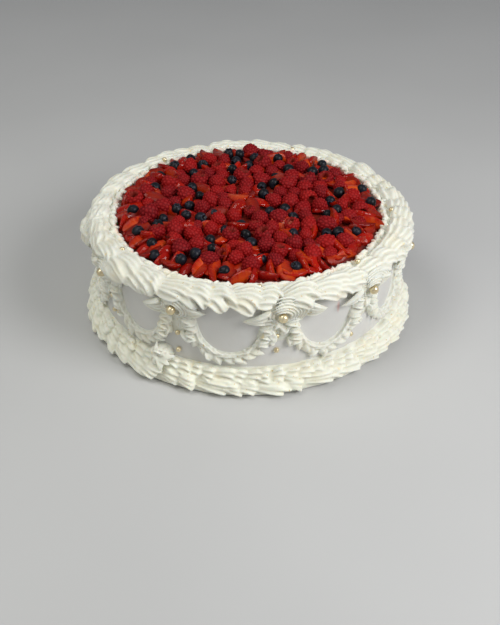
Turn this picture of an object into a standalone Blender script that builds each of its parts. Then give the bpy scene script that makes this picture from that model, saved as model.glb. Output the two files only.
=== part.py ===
"""A round cream cake, 343 mm across its piped foot and 125 mm high, heaped with berries.

Lengths are in metres, +Z is up, and the origin is the middle of the cake's flat underside.
An angle round the cake is measured from -Y, its front, towards +X. On the side of the cake a
place is given by its distance across, along the arc, its height, and its depth out of the icing.
"""

import math
import random

import bmesh
import bpy
from mathutils import Euler, Matrix, Vector

# Driving dimensions of the cake
SIDE_RADIUS = 0.1545
TOP_HEIGHT = 0.0960
EDGE_ROUND = 0.0030
SIDE_FACETS = 48
GAP = 0.0003
BACK_GAP = 0.0005

# Piped borders: each section is (radius, height) round the outside, with the points that the
# shells lift. The flat points, first in each list, lie against the icing.
SHELL_TAIL = 0.0
SHELL_HEAD = 0.66
SHELL_COUNT = 50
SHELL_LEAST = 0.76
TOP_BORDER_FLAT = [(0.1395, 0.0963), (0.1549, 0.0963), (0.1549, 0.0950)]
TOP_BORDER_SHELL = [(0.1618, 0.0950), (0.1668, 0.1012), (0.1590, 0.1114), (0.1450, 0.1104)]
TOP_BORDER_HEART = (0.1520, 0.0985)
# How far a border swells out and up from its heart, by the angle round the cake in degrees
EVEN_SWELL = ((-180, 1.0, 1.0), (180, 1.0, 1.0))
TOP_SWELL = (
    (-180, 0.62, 0.66), (-150, 0.58, 0.66), (-114, 0.60, 0.80), (-102, 0.62, 0.86), (-92, 0.70, 0.92),
    (-84, 0.70, 0.92), (-77, 0.52, 0.84), (-69, 0.74, 0.95), (-57, 0.95, 1.0), (-45, 1.0, 1.0),
    (88, 1.0, 1.0), (100, 0.74, 0.88), (120, 0.68, 0.80), (150, 0.64, 0.70), (180, 0.62, 0.66),
)
FOOT_SWELL = (
    (-180, 1.0, 1.0), (-130, 1.0, 1.0), (-105, 1.15, 1.28), (-85, 1.15, 1.15), (-60, 1.25, 1.0),
    (-42, 1.38, 1.0), (-18, 1.08, 1.0), (0, 1.0, 1.0), (180, 1.0, 1.0),
)

RUFFLE_COUNT = 34
RUFFLE_LEAST = 0.70
RUFFLE_FLAT = [(0.1338, 0.0963), (0.1391, 0.0963)]
RUFFLE_SHELL = [(0.1390, 0.1075), (0.1346, 0.1115)]
RUFFLE_HEART = (0.1365, 0.1000)

FOOT_COUNT = 44
FOOT_LEAST = 0.78
FOOT_FLAT = [(0.1549, 0.0268), (0.1549, 0.0), (0.1655, 0.0)]
FOOT_LOWER_ROW = [(0.1704, 0.0050), (0.1676, 0.0130)]
FOOT_UPPER_ROW = [(0.1652, 0.0170), (0.1614, 0.0252)]
FOOT_HEART = (0.1590, 0.0110)

# Decoration of the side: ten swags of cream hang between ten rosettes. Some rosettes are piped
# a few degrees off their even places, and the swags between them are wider or narrower.
SWAG_COUNT = 10
FIRST_ROSETTE = math.radians(11.0)
ROSETTE_SHIFTS = {1: -2.0, 2: -7.0, 3: -4.0, 7: 8.0, 8: 3.0}
SWAG_HALF_SPAN = 0.0352
SWAG_TOP = 0.0755
SWAG_DROP = 0.0385
SWAG_DABS = 5
SWAG_OUTER_WIDTH = 0.0075
SWAG_INNER_WIDTH = 0.0062
SWAG_DEPTH = 0.0062

ROSETTE_HEIGHT = 0.0895
ROSETTE_RADIUS = 0.0145
ROSETTE_CREST = 0.0102
ROSETTE_DEPTH = 0.0110
BOLD_ROSETTES = {3: 0.85, 4: 0.80, 5: 0.80, 6: 0.85, 7: 1.30}
DIMPLE_RADIUS = 0.0047
DIMPLE_DEPTH = 0.0074
ROSETTE_ANGLES = (-80, -46, -13, 22, 58, 94, 130, 162, 194, 236)
WINGS = {-13: 0.0262, 194: 0.0320}
WING_DEPTH = 0.0034
ROSETTE_RIM_DEPTH = 0.0052
NOTCH_RADIUS = 0.0160
NOTCH_STRETCH = 1.18
NOTCH_LENGTH = 0.0300
NOTCH_DEPTH = 0.0125

PEARL_RADIUS = 0.0045
BEAD_RADIUS = 0.0026
BEAD_SIDES = 4
SMALL_BALL_SWELL = 1.1
BEAD_SINK = 0.6
# The beads below a rosette, by their distance across and their height
EVEN_BEADS = ((0.0, 0.0600), (0.0, 0.0430))
OTHER_BEADS = {
    0: ((-0.0034, 0.0620), (-0.0034, 0.0455)),
    1: ((-0.0015, 0.0695), (-0.0159, 0.0400)),
    8: ((-0.0020, 0.0580), (0.0, 0.0420)),
    9: ((0.0, 0.0570), (0.0, 0.0370)),
}
RIM_BEAD_ANGLES = (3.9, 44.9, 87.5, -55.6, 160.0, -140.0)
RIM_BEAD_RADIUS = 0.1464
RIM_BEAD_HEIGHT = 0.1080

FLOWER_ROSETTES = (9, 4)
FLOWER_ASIDE = -0.0150
FLOWER_HEIGHT = 0.0300
FLOWER_RADIUS = 0.0095
FLOWER_NOTCH_RADIUS = 0.0105

# Fruit on top
HEAP_RADIUS = 0.1330
CORE_EDGE_HEIGHT = 0.1082
CORE_HEIGHT = 0.1115
BERRY_SEED = 29
STRAWBERRY_RINGS = ((0.1200, 44), (0.0930, 18), (0.0600, 11))
STRAWBERRY_LENGTH = 0.0265
STRAWBERRY_WIDTH = 0.0150
STRAWBERRY_THICKNESS = 0.0125
STRAWBERRY_BELLY = -0.30
CENTRE_SLICES = 5
RASPBERRIES = 104
RASPBERRY_RADIUS = 0.0084
RASPBERRY_STRETCH = 1.12
BLUEBERRIES = 60
BLUEBERRY_RADIUS = 0.0061
BLUEBERRY_SIDES = 5
TOP_LAYER_REACH = 0.1180
BLUEBERRY_REACH = 0.1262
BED_HEIGHT = 0.1045
BED_DOME = 0.0025
GOLDEN_ANGLE = math.pi * (3 - math.sqrt(5))
SETTLING_ROUNDS = 90
FACES_KEPT = 0.84

# Colours and finish, from the photograph
CREAM = ((0.86, 0.84, 0.76), 0.45, 0.0)
ICING = ((0.80, 0.79, 0.74), 0.50, 0.0)
GOLD = ((0.80, 0.66, 0.40), 0.30, 0.6)
FRUIT = ((0.42, 0.03, 0.04), 0.40, 0.0)


def start_clean():
    for thing in list(bpy.data.objects):
        bpy.data.objects.remove(thing, do_unlink=True)


def collection_named(name):
    made = bpy.data.collections.new(name)
    bpy.context.scene.collection.children.link(made)
    return made


def material_named(name, look):
    colour, roughness, metallic = look
    made = bpy.data.materials.new(name)
    made.use_nodes = True
    shader = made.node_tree.nodes["Principled BSDF"]
    shader.inputs["Base Color"].default_value = (*colour, 1.0)
    shader.inputs["Roughness"].default_value = roughness
    shader.inputs["Metallic"].default_value = metallic
    return made


def object_from(name, mesh, collection, material=None):
    made = bpy.data.objects.new(name, mesh)
    collection.objects.link(made)
    if material:
        mesh.materials.append(material)
    return made


def mesh_from(name, points, faces):
    """A mesh whose faces all point out of the closed surface."""
    mesh = bpy.data.meshes.new(name)
    mesh.from_pydata([tuple(p) for p in points], [], faces)
    work = bmesh.new()
    work.from_mesh(mesh)
    bmesh.ops.recalc_face_normals(work, faces=work.faces)
    work.to_mesh(mesh)
    work.free()
    return mesh


def apply_modifiers(thing):
    """Replaces a thing's mesh with the one that its modifiers make."""
    bpy.context.view_layer.update()
    seen = thing.evaluated_get(bpy.context.evaluated_depsgraph_get())
    mesh = bpy.data.meshes.new_from_object(seen)
    thing.modifiers.clear()
    thing.data = mesh


def join_or_cut(thing, others, operation):
    """Joins a collection to a thing, or cuts it away, and removes the collection's objects."""
    boolean = thing.modifiers.new(operation.lower(), "BOOLEAN")
    boolean.operation = operation
    boolean.operand_type = "COLLECTION"
    boolean.collection = others
    boolean.solver = "MANIFOLD"
    apply_modifiers(thing)
    for used in list(others.objects):
        bpy.data.objects.remove(used, do_unlink=True)
    bpy.data.collections.remove(others)


def turned(name, profile, facets, collection, material):
    """A solid turned about Z from a profile that runs from the axis down its outer side."""
    mesh = bpy.data.meshes.new(name)
    points = [(radius, 0.0, height) for radius, height in profile]
    mesh.from_pydata(points, [(i, i + 1) for i in range(len(points) - 1)], [])
    made = object_from(name, mesh, collection)
    screw = made.modifiers.new("turn", "SCREW")
    screw.steps = screw.render_steps = facets
    screw.use_merge_vertices = True
    screw.merge_threshold = 0.00005
    apply_modifiers(made)
    made.data.materials.append(material)
    return made


def round_place(radius, angle, height):
    return Vector((radius * math.sin(angle), -radius * math.cos(angle), height))


def side_place(angle, across, height, depth):
    """A place on the cake's side: across is an arc length, and depth is out of the icing."""
    return round_place(SIDE_RADIUS + depth, angle + across / SIDE_RADIUS, height)


def lofted_ring(name, sections):
    """Closed sections joined round a full turn."""
    size = len(sections[0])
    points = [p for section in sections for p in section]
    faces = []
    for i in range(len(sections)):
        this, following = i * size, (i + 1) % len(sections) * size
        for j in range(size):
            k = (j + 1) % size
            faces.append((this + j, this + k, following + k, following + j))
    return mesh_from(name, points, faces)


def lofted_strip(name, sections):
    """Closed sections joined in a row, with both ends capped."""
    size = len(sections[0])
    points = [p for section in sections for p in section]
    faces = [tuple(range(size)), tuple(range(len(points) - size, len(points)))]
    for i in range(len(sections) - 1):
        for j in range(size):
            k = (j + 1) % size
            faces.append((i * size + j, i * size + k, (i + 1) * size + k, (i + 1) * size + j))
    return mesh_from(name, points, faces)


def grown(point, heart, share):
    return tuple(h + (p - h) * share for p, h in zip(point, heart))


def swell_at(table, angle):
    """A border's reach and rise at an angle, from the nearest two lines of its table."""
    degrees = (math.degrees(angle) + 180) % 360 - 180
    for (start, reach, rise), (end, later_reach, later_rise) in zip(table, table[1:]):
        if degrees <= end:
            share = (degrees - start) / (end - start)
            break
    return reach + share * (later_reach - reach), rise + share * (later_rise - rise)


def swollen(point, heart, reach, rise):
    radius, height = point
    if radius > heart[0]:
        radius = heart[0] + (radius - heart[0]) * reach
    return radius, heart[1] + (height - heart[1]) * rise


def piped_ring(name, flat, rows, heart, count, least, seed, swell=EVEN_SWELL):
    """A ring of piped shells, thin at the tail and full at the head, each a little unlike.

    Every second row has its heads where the first has its tails.
    """
    draw = random.Random(seed)
    sizes = [[draw.uniform(0.94, 1.0) for _ in range(count)] for _ in rows]
    sections = []
    for shell in range(count):
        for full, share_of_pitch in enumerate((SHELL_TAIL, SHELL_HEAD)):
            turn = (shell + share_of_pitch + draw.uniform(-0.05, 0.05)) / count
            angle = FIRST_ROSETTE + 2 * math.pi * turn
            reach, rise = swell_at(swell, angle)
            section = [round_place(radius, angle, height) for radius, height in flat]
            for row, points in enumerate(rows):
                fullness = full if row % 2 == 0 else 1 - full
                share = (least + (1 - least) * fullness) * sizes[row][shell]
                for point in points:
                    radius, height = swollen(grown(point, heart, share), heart, reach, rise)
                    section.append(round_place(radius, angle, height))
            sections.append(section)
    return lofted_ring(name, sections)


def rosette_angle(index):
    shift = math.radians(ROSETTE_SHIFTS.get(index, 0.0))
    return FIRST_ROSETTE + 2 * math.pi * index / SWAG_COUNT + shift


def swag_place(index):
    """The angle midway between a swag's two rosettes, and its span against an even swag's."""
    start, end = rosette_angle(index), rosette_angle((index + 1) % SWAG_COUNT)
    if end < start:
        end += 2 * math.pi
    return (start + end) / 2, (end - start) * SWAG_COUNT / (2 * math.pi)


def make_cake(collection, material):
    """The iced cake itself, with the small beads that lie on its side below each rosette."""
    cake = turned(
        "frosted_cake",
        [
            (0.0, TOP_HEIGHT),
            (SIDE_RADIUS - EDGE_ROUND, TOP_HEIGHT),
            (SIDE_RADIUS, TOP_HEIGHT - EDGE_ROUND),
            (SIDE_RADIUS, 0.0),
            (0.0, 0.0),
        ],
        SIDE_FACETS, collection, material,
    )
    beads = collection_named("beads")
    for index in range(SWAG_COUNT):
        for across, height in OTHER_BEADS.get(index, EVEN_BEADS):
            place = side_place(rosette_angle(index), across, height, BEAD_RADIUS * BEAD_SINK)
            add_small_ball(beads, Matrix.Translation(place), BEAD_RADIUS, BEAD_SIDES)
    join_or_cut(cake, beads, "UNION")


def add_raspberry(collection, matrix, radius):
    """A raspberry as a ball of twenty faces, a little longer than it is wide."""
    work = bmesh.new()
    bmesh.ops.create_icosphere(work, subdivisions=1, radius=radius)
    bmesh.ops.scale(work, vec=(1.0, 1.0, RASPBERRY_STRETCH), verts=work.verts)
    add_solid(collection, "raspberry", work, matrix)


def add_small_ball(collection, matrix, radius, sides):
    """A blueberry or a bead, of few sides and swollen to hold the volume of a ball."""
    work = bmesh.new()
    bmesh.ops.create_uvsphere(
        work, u_segments=sides, v_segments=2, radius=radius * SMALL_BALL_SWELL
    )
    add_solid(collection, "ball", work, matrix)


def add_solid(collection, name, work, matrix):
    bmesh.ops.transform(work, matrix=matrix, verts=work.verts)
    mesh = bpy.data.meshes.new(name)
    work.to_mesh(mesh)
    work.free()
    return object_from(name, mesh, collection)


def add_notch(collection, angle, place, radius, stretch):
    """A short bar that points out of the cake's side, to be cut away from a border."""
    work = bmesh.new()
    bmesh.ops.create_cone(
        work, cap_ends=True, segments=12, radius1=radius, radius2=radius, depth=NOTCH_LENGTH
    )
    bmesh.ops.scale(work, vec=(stretch, 1.0, 1.0), verts=work.verts)
    lean = Matrix.Rotation(angle, 4, "Z") @ Matrix.Rotation(math.radians(90), 4, "X")
    notch = add_solid(collection, "notch", work, Matrix.Translation(place) @ lean)
    notch.hide_render = True
    notch.display_type = "WIRE"


def make_top_border(collection, material):
    """The big shells round the top edge, notched for each rosette, and the beads on them."""
    ring = object_from(
        "top_border",
        piped_ring(
            "top_border", TOP_BORDER_FLAT, [TOP_BORDER_SHELL], TOP_BORDER_HEART,
            SHELL_COUNT, SHELL_LEAST, seed=1, swell=TOP_SWELL,
        ),
        collection, material,
    )
    notches = collection_named("notches")
    for index in range(SWAG_COUNT):
        place = side_place(rosette_angle(index), 0.0, ROSETTE_HEIGHT, NOTCH_DEPTH)
        add_notch(notches, rosette_angle(index), place, NOTCH_RADIUS, NOTCH_STRETCH)
    join_or_cut(ring, notches, "DIFFERENCE")
    beads = collection_named("rim_beads")
    for degrees in RIM_BEAD_ANGLES:
        angle = math.radians(degrees)
        bead = (RIM_BEAD_RADIUS, RIM_BEAD_HEIGHT)
        radius, height = swollen(bead, TOP_BORDER_HEART, *swell_at(TOP_SWELL, angle))
        place = round_place(radius, angle, height)
        add_small_ball(beads, Matrix.Translation(place), BEAD_RADIUS, BEAD_SIDES)
    join_or_cut(ring, beads, "UNION")


def make_inner_ruffle(collection, material):
    mesh = piped_ring(
        "inner_ruffle", RUFFLE_FLAT, [RUFFLE_SHELL], RUFFLE_HEART,
        RUFFLE_COUNT, RUFFLE_LEAST, seed=2,
    )
    object_from("inner_ruffle", mesh, collection, material)


def make_foot_border(collection, material):
    """Two rows of shells round the foot, heads between heads, notched for each flower."""
    mesh = piped_ring(
        "foot_border", FOOT_FLAT, [FOOT_LOWER_ROW, FOOT_UPPER_ROW], FOOT_HEART,
        FOOT_COUNT, FOOT_LEAST, seed=3, swell=FOOT_SWELL,
    )
    ring = object_from("foot_border", mesh, collection, material)
    notches = collection_named("flower_notches")
    for index in FLOWER_ROSETTES:
        angle = rosette_angle(index) + FLOWER_ASIDE / SIDE_RADIUS
        place = side_place(angle, 0.0, FLOWER_HEIGHT, NOTCH_DEPTH)
        add_notch(notches, angle, place, FLOWER_NOTCH_RADIUS, 1.0)
    join_or_cut(ring, notches, "DIFFERENCE")


def swag_route(share, span):
    """Across and height of a swag's middle line, and the direction square to it, outwards."""
    turn = math.pi * (1 - share)
    reach = SWAG_HALF_SPAN * span
    height = SWAG_TOP - SWAG_DROP * math.sin(turn)
    outwards = Vector((math.cos(turn) / reach, -math.sin(turn) / SWAG_DROP))
    return reach * math.cos(turn), height, outwards.normalized()


def make_swag(index, collection, material):
    """A hanging U of cream in two rows of dabs: small ones inside and large ones outside."""
    middle, span = swag_place(index)
    steps = 2 * SWAG_DABS
    sections = []
    for i in range(steps + 1):
        full = 1.0 if i % 2 else 0.68
        across, height, outwards = swag_route(i / steps, span)
        outer, inner = SWAG_OUTER_WIDTH * full, -SWAG_INNER_WIDTH * full
        section = []
        for aside, depth in (
            (inner, BACK_GAP),
            (outer, BACK_GAP),
            (outer * 0.62, SWAG_DEPTH * full),
            (0.0, SWAG_DEPTH * 0.42),
            (inner * 0.55, SWAG_DEPTH * full * 0.8),
        ):
            place = side_place(
                middle, across + outwards.x * aside, height + outwards.y * aside, depth
            )
            section.append(place)
        sections.append(section)
    name = f"swag_{index + 1:02d}"
    object_from(name, lofted_strip(name, sections), collection, material)


def make_rosette(index, collection, material):
    """A swirl of cream with a dimple for its pearl and a pointed wing to each side."""
    middle = rosette_angle(index)
    bold = BOLD_ROSETTES.get(index, 1.0)
    sections = []
    for level in range(4):
        section = []
        for step, degrees in enumerate(ROSETTE_ANGLES):
            turn = math.radians(degrees)
            swirl = step / len(ROSETTE_ANGLES)
            rim = WINGS.get(degrees, ROSETTE_RADIUS)
            radius, depth = (
                (rim * 0.94, BACK_GAP),
                (rim, WING_DEPTH if degrees in WINGS else ROSETTE_RIM_DEPTH * bold),
                (ROSETTE_CREST + 0.0016 * swirl, (ROSETTE_DEPTH - 0.0014 * swirl) * bold),
                (DIMPLE_RADIUS, DIMPLE_DEPTH * bold),
            )[level]
            across, rise = radius * math.cos(turn), radius * math.sin(turn)
            section.append(side_place(middle, across, ROSETTE_HEIGHT + rise, depth))
        sections.append(section)
    name = f"rosette_{index + 1:02d}"
    object_from(name, lofted_strip(name, sections), collection, material)


def make_pearl(index, collection, material):
    name = f"pearl_{index + 1:02d}"
    work = bmesh.new()
    bmesh.ops.create_uvsphere(work, u_segments=6, v_segments=4, radius=PEARL_RADIUS)
    mesh = bpy.data.meshes.new(name)
    work.to_mesh(mesh)
    work.free()
    pearl = object_from(name, mesh, collection, material)
    depth = DIMPLE_DEPTH * BOLD_ROSETTES.get(index, 1.0) + GAP + PEARL_RADIUS
    pearl.location = side_place(rosette_angle(index), 0.0, ROSETTE_HEIGHT, depth)
    mesh.shade_smooth()


def make_flower(number, index, collection, material):
    """A small ruffled flower of cream beside a swag's foot."""
    steps = 8
    sections = []
    for radius, depth in ((0.86, BACK_GAP), (1.0, 0.0085), (0.62, 0.0135), (0.22, 0.0105)):
        section = []
        for step in range(steps):
            turn = 2 * math.pi * step / steps
            fold = 1.0 if step % 2 else 0.86
            reach = FLOWER_RADIUS * radius * fold
            across = FLOWER_ASIDE + reach * math.cos(turn)
            height = FLOWER_HEIGHT + reach * math.sin(turn)
            section.append(side_place(rosette_angle(index), across, height, depth))
        sections.append(section)
    name = f"cream_flower_{number}"
    object_from(name, lofted_strip(name, sections), collection, material)


def spread_apart(berries):
    """Pushes berries that overlap, seen from above, apart until they lie side by side."""
    for _ in range(SETTLING_ROUNDS):
        for i, one in enumerate(berries):
            for other in berries[i + 1:]:
                dx, dy = other["x"] - one["x"], other["y"] - one["y"]
                apart = math.sqrt(dx * dx + dy * dy) + 1e-9
                short = one["size"] + other["size"] - apart
                if short > 0:
                    push = 0.5 * short / apart
                    one["x"] -= dx * push
                    one["y"] -= dy * push
                    other["x"] += dx * push
                    other["y"] += dy * push
        for berry in berries:
            out = math.sqrt(berry["x"] ** 2 + berry["y"] ** 2)
            if out > berry["reach"]:
                berry["x"] *= berry["reach"] / out
                berry["y"] *= berry["reach"] / out


def bed_height(x, y):
    """Height of the bed of strawberries under the berries, a little domed."""
    return BED_HEIGHT + BED_DOME * (1 - (x * x + y * y) / HEAP_RADIUS**2)


def berry_layout():
    """Every piece of fruit, as a dictionary of its kind, place, size, tilt and turn."""
    draw = random.Random(BERRY_SEED)
    pieces = []
    for ring, count in STRAWBERRY_RINGS:
        outer = ring == STRAWBERRY_RINGS[0][0]
        for i in range(count):
            angle = 2 * math.pi * (i + draw.uniform(-0.22, 0.22)) / count
            radius = ring + (draw.uniform(-0.002, 0.0) if outer else draw.uniform(-0.01, 0.01))
            turn = angle + (draw.uniform(-0.35, 0.35) if outer else draw.uniform(-1.6, 1.6))
            lift = draw.uniform(0.0120, 0.0140) if outer else draw.uniform(0.0115, 0.0145)
            place = round_place(radius, angle, TOP_HEIGHT + lift)
            pieces.append({
                "kind": "strawberry", "x": place.x, "y": place.y, "z": place.z,
                "size": draw.uniform(0.86, 1.02), "tilt": draw.uniform(0.0, 0.3),
                "roll": draw.uniform(-0.5, 0.5), "turn": turn,
            })
    for i in range(CENTRE_SLICES):
        angle = 2 * math.pi * (i + 0.3) / CENTRE_SLICES
        place = round_place(0.0130, angle, TOP_HEIGHT + 0.0190)
        pieces.append({
            "kind": "strawberry", "x": place.x, "y": place.y, "z": place.z,
            "size": 0.96, "tilt": 0.18, "roll": 0.35 - 0.2 * i, "turn": angle,
        })
    kinds = ["raspberry"] * RASPBERRIES + ["blueberry"] * BLUEBERRIES
    draw.shuffle(kinds)
    top_layer = []
    for i, kind in enumerate(kinds):
        angle = i * GOLDEN_ANGLE
        away = math.sqrt((i + 5.0) / (len(kinds) + 5.0))
        blue = kind == "blueberry"
        radius = away * (BLUEBERRY_REACH if blue else TOP_LAYER_REACH)
        place = round_place(radius, angle, 0.0)
        size = BLUEBERRY_RADIUS * draw.uniform(0.86, 1.06)
        if not blue:
            size = RASPBERRY_RADIUS * draw.uniform(0.80, 1.14)
        top_layer.append({
            "kind": kind,
            "x": place.x + draw.uniform(-0.003, 0.003),
            "y": place.y + draw.uniform(-0.003, 0.003),
            "size": size,
            "reach": (BLUEBERRY_REACH if blue else TOP_LAYER_REACH),
            "tilt": draw.choice((0.2, 0.5, 0.9, 1.2, 1.4, 1.6, 1.3, 1.7, 2.75)) + draw.uniform(-0.2, 0.2),
            "roll": 0.0,
            "turn": draw.uniform(0, 2 * math.pi),
            "rise": draw.uniform(-0.0016, 0.0020),
        })
    spread_apart(top_layer)
    for berry in top_layer:
        lift = 1.22 if berry["kind"] == "blueberry" else 0.85
        bed = bed_height(berry["x"], berry["y"])
        berry["z"] = bed + lift * berry["size"] + berry["rise"]
    return pieces + top_layer


def fruit_matrix(piece):
    """Where a piece of fruit lies: its own +Z, its tip, leans over by its tilt towards its turn."""
    place = Matrix.Translation((piece["x"], piece["y"], piece["z"]))
    return place @ Euler((piece["roll"], piece["tilt"], piece["turn"] - math.pi / 2)).to_matrix().to_4x4()


def add_strawberry(collection, matrix, size):
    """A wedge of strawberry: its tip is at +X, and its two cut faces meet along its top."""
    half, wide, thick = (
        STRAWBERRY_LENGTH / 2 * size, STRAWBERRY_WIDTH / 2 * size, STRAWBERRY_THICKNESS / 2 * size,
    )
    belly = STRAWBERRY_BELLY * half
    points = [
        Vector((half, 0, 0)), Vector((-half, 0, 0)),
        Vector((belly, wide, 0)), Vector((belly, 0, thick)),
        Vector((belly, -wide, 0)), Vector((belly, 0, -thick)),
    ]
    faces = []
    for k in range(4):
        side, following = 2 + k, 2 + (k + 1) % 4
        faces += [(0, side, following), (1, following, side)]
    mesh = mesh_from("strawberry", [matrix @ p for p in points], faces)
    object_from("strawberry", mesh, collection)


def make_berry_heap(collection, material):
    """The heap of fruit: a low core with every berry and strawberry wedge fused to it."""
    floor = TOP_HEIGHT + GAP
    heap = turned(
        "berry_heap",
        [
            (0.0, CORE_HEIGHT),
            (HEAP_RADIUS * 0.55, CORE_HEIGHT - 0.0008),
            (HEAP_RADIUS - 0.0060, CORE_EDGE_HEIGHT),
            (HEAP_RADIUS - 0.0010, floor),
            (0.0, floor),
        ],
        24, collection, material,
    )
    fruit = collection_named("fruit")
    for piece in berry_layout():
        matrix = fruit_matrix(piece)
        if piece["kind"] == "strawberry":
            add_strawberry(fruit, matrix, piece["size"])
        elif piece["kind"] == "raspberry":
            add_raspberry(fruit, matrix, piece["size"])
        else:
            add_small_ball(fruit, matrix, piece["size"], BLUEBERRY_SIDES)
    join_or_cut(heap, fruit, "UNION")
    thin = heap.modifiers.new("thin_out_slivers", "DECIMATE")
    thin.ratio = FACES_KEPT
    apply_modifiers(heap)


def main():
    start_clean()
    parts = collection_named("berry_cake")
    cream = material_named("piped_cream", CREAM)
    icing = material_named("smooth_icing", ICING)
    gold = material_named("gold_pearl", GOLD)
    fruit = material_named("berries", FRUIT)
    make_cake(parts, icing)
    make_top_border(parts, cream)
    make_inner_ruffle(parts, cream)
    make_foot_border(parts, cream)
    for index in range(SWAG_COUNT):
        make_swag(index, parts, cream)
        make_rosette(index, parts, cream)
        make_pearl(index, parts, gold)
    for number, index in enumerate(FLOWER_ROSETTES):
        make_flower(number + 1, index, parts, cream)
    make_berry_heap(parts, fruit)


main()
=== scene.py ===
"""Looks of the berry cake: piped cream, smooth icing, gold pearls, and fruit at its true size.

Lengths are in metres. An angle round the cake runs from -Y, its front, towards +X.
"""

import math
import random

import bmesh
import bpy
import numpy as np
from mathutils import Euler, Matrix, Vector


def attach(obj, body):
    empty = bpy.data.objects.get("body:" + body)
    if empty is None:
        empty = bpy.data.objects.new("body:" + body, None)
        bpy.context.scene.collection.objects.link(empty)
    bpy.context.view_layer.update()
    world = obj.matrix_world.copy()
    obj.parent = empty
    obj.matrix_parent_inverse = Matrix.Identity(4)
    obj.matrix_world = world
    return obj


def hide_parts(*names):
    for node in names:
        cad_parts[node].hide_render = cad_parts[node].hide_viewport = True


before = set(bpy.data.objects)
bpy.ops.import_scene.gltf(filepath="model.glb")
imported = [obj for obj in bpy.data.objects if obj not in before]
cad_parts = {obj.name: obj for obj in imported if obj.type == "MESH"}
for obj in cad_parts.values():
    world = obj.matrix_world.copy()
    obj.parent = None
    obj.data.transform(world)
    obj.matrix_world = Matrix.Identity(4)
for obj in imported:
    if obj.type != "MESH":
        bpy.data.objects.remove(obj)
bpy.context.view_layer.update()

# The same cake as the solids: sizes and the rule for the fruit's places
SIDE_RADIUS = 0.1545
TOP_HEIGHT = 0.0960
SWAG_COUNT = 10
FIRST_ROSETTE = math.radians(11.0)
ROSETTE_SHIFTS = {1: -2.0, 2: -7.0, 3: -4.0, 7: 8.0, 8: 3.0}
BOLD_ROSETTES = {3: 0.85, 4: 0.80, 5: 0.80, 6: 0.85, 7: 1.30}
SWAG_HALF_SPAN = 0.0352
SWAG_TOP = 0.0755
SWAG_DROP = 0.0385
ROSETTE_HEIGHT = 0.0895
GAP = 0.0003
PEARL_RADIUS = 0.0045
DIMPLE_DEPTH = 0.0074
BEAD_RADIUS = 0.0026
BEAD_SINK = 0.6
EVEN_BEADS = ((0.0, 0.0600), (0.0, 0.0430))
OTHER_BEADS = {
    0: ((-0.0034, 0.0620), (-0.0034, 0.0455)),
    1: ((-0.0015, 0.0695), (-0.0159, 0.0400)),
    8: ((-0.0020, 0.0580), (0.0, 0.0420)),
    9: ((0.0, 0.0570), (0.0, 0.0370)),
}
RIM_BEAD_ANGLES = (3.9, 44.9, 87.5, -55.6, 160.0, -140.0)
RIM_BEAD_RADIUS = 0.1452
RIM_BEAD_HEIGHT = 0.1112
FLOWER_ROSETTES = (9, 4)
FLOWER_ASIDE = -0.0150
FLOWER_HEIGHT = 0.0300
TOP_BORDER_HEART = (0.1520, 0.0985)
TOP_SWELL = (
    (-180, 0.62, 0.66), (-150, 0.58, 0.66), (-114, 0.60, 0.80), (-102, 0.62, 0.86), (-92, 0.70, 0.92),
    (-84, 0.70, 0.92), (-77, 0.52, 0.84), (-69, 0.74, 0.95), (-57, 0.95, 1.0), (-45, 1.0, 1.0),
    (88, 1.0, 1.0), (100, 0.74, 0.88), (120, 0.68, 0.80), (150, 0.64, 0.70), (180, 0.62, 0.66),
)
FOOT_HEART = (0.1590, 0.0110)
FOOT_SWELL = (
    (-180, 1.0, 1.0), (-130, 1.0, 1.0), (-105, 1.15, 1.28), (-85, 1.15, 1.15), (-60, 1.25, 1.0),
    (-42, 1.38, 1.0), (-18, 1.08, 1.0), (0, 1.0, 1.0), (180, 1.0, 1.0),
)

HEAP_RADIUS = 0.1330
BERRY_SEED = 29
STRAWBERRY_RINGS = ((0.1200, 44), (0.0930, 18), (0.0600, 11))
STRAWBERRY_LENGTH = 0.0265
CENTRE_SLICES = 5
RASPBERRIES = 104
RASPBERRY_RADIUS = 0.0084
BLUEBERRIES = 60
BLUEBERRY_RADIUS = 0.0061
TOP_LAYER_REACH = 0.1180
BLUEBERRY_REACH = 0.1262
BED_HEIGHT = 0.1045
BED_DOME = 0.0025
GOLDEN_ANGLE = math.pi * (3 - math.sqrt(5))
TILTS = (0.2, 0.5, 0.9, 1.2, 1.4, 1.6, 1.3, 1.7, 2.75)
SETTLING_ROUNDS = 90


def rosette_angle(index):
    shift = math.radians(ROSETTE_SHIFTS.get(index, 0.0))
    return FIRST_ROSETTE + 2 * math.pi * index / SWAG_COUNT + shift


def swag_place(index):
    """The angle midway between a swag's two rosettes, and its span against an even swag's."""
    start, end = rosette_angle(index), rosette_angle((index + 1) % SWAG_COUNT)
    if end < start:
        end += 2 * math.pi
    return (start + end) / 2, (end - start) * SWAG_COUNT / (2 * math.pi)


def swollen(table, heart, angle, radius, height):
    """Moves places in a border's section out and up by its table of swells round the cake."""
    degrees, reach, rise = np.transpose(table)
    turn = (np.degrees(angle) + 180) % 360 - 180
    out = heart[0] + (radius - heart[0]) * np.interp(turn, degrees, reach)
    radius = np.where(radius > heart[0], out, radius)
    return radius, heart[1] + (height - heart[1]) * np.interp(turn, degrees, rise)


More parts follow.
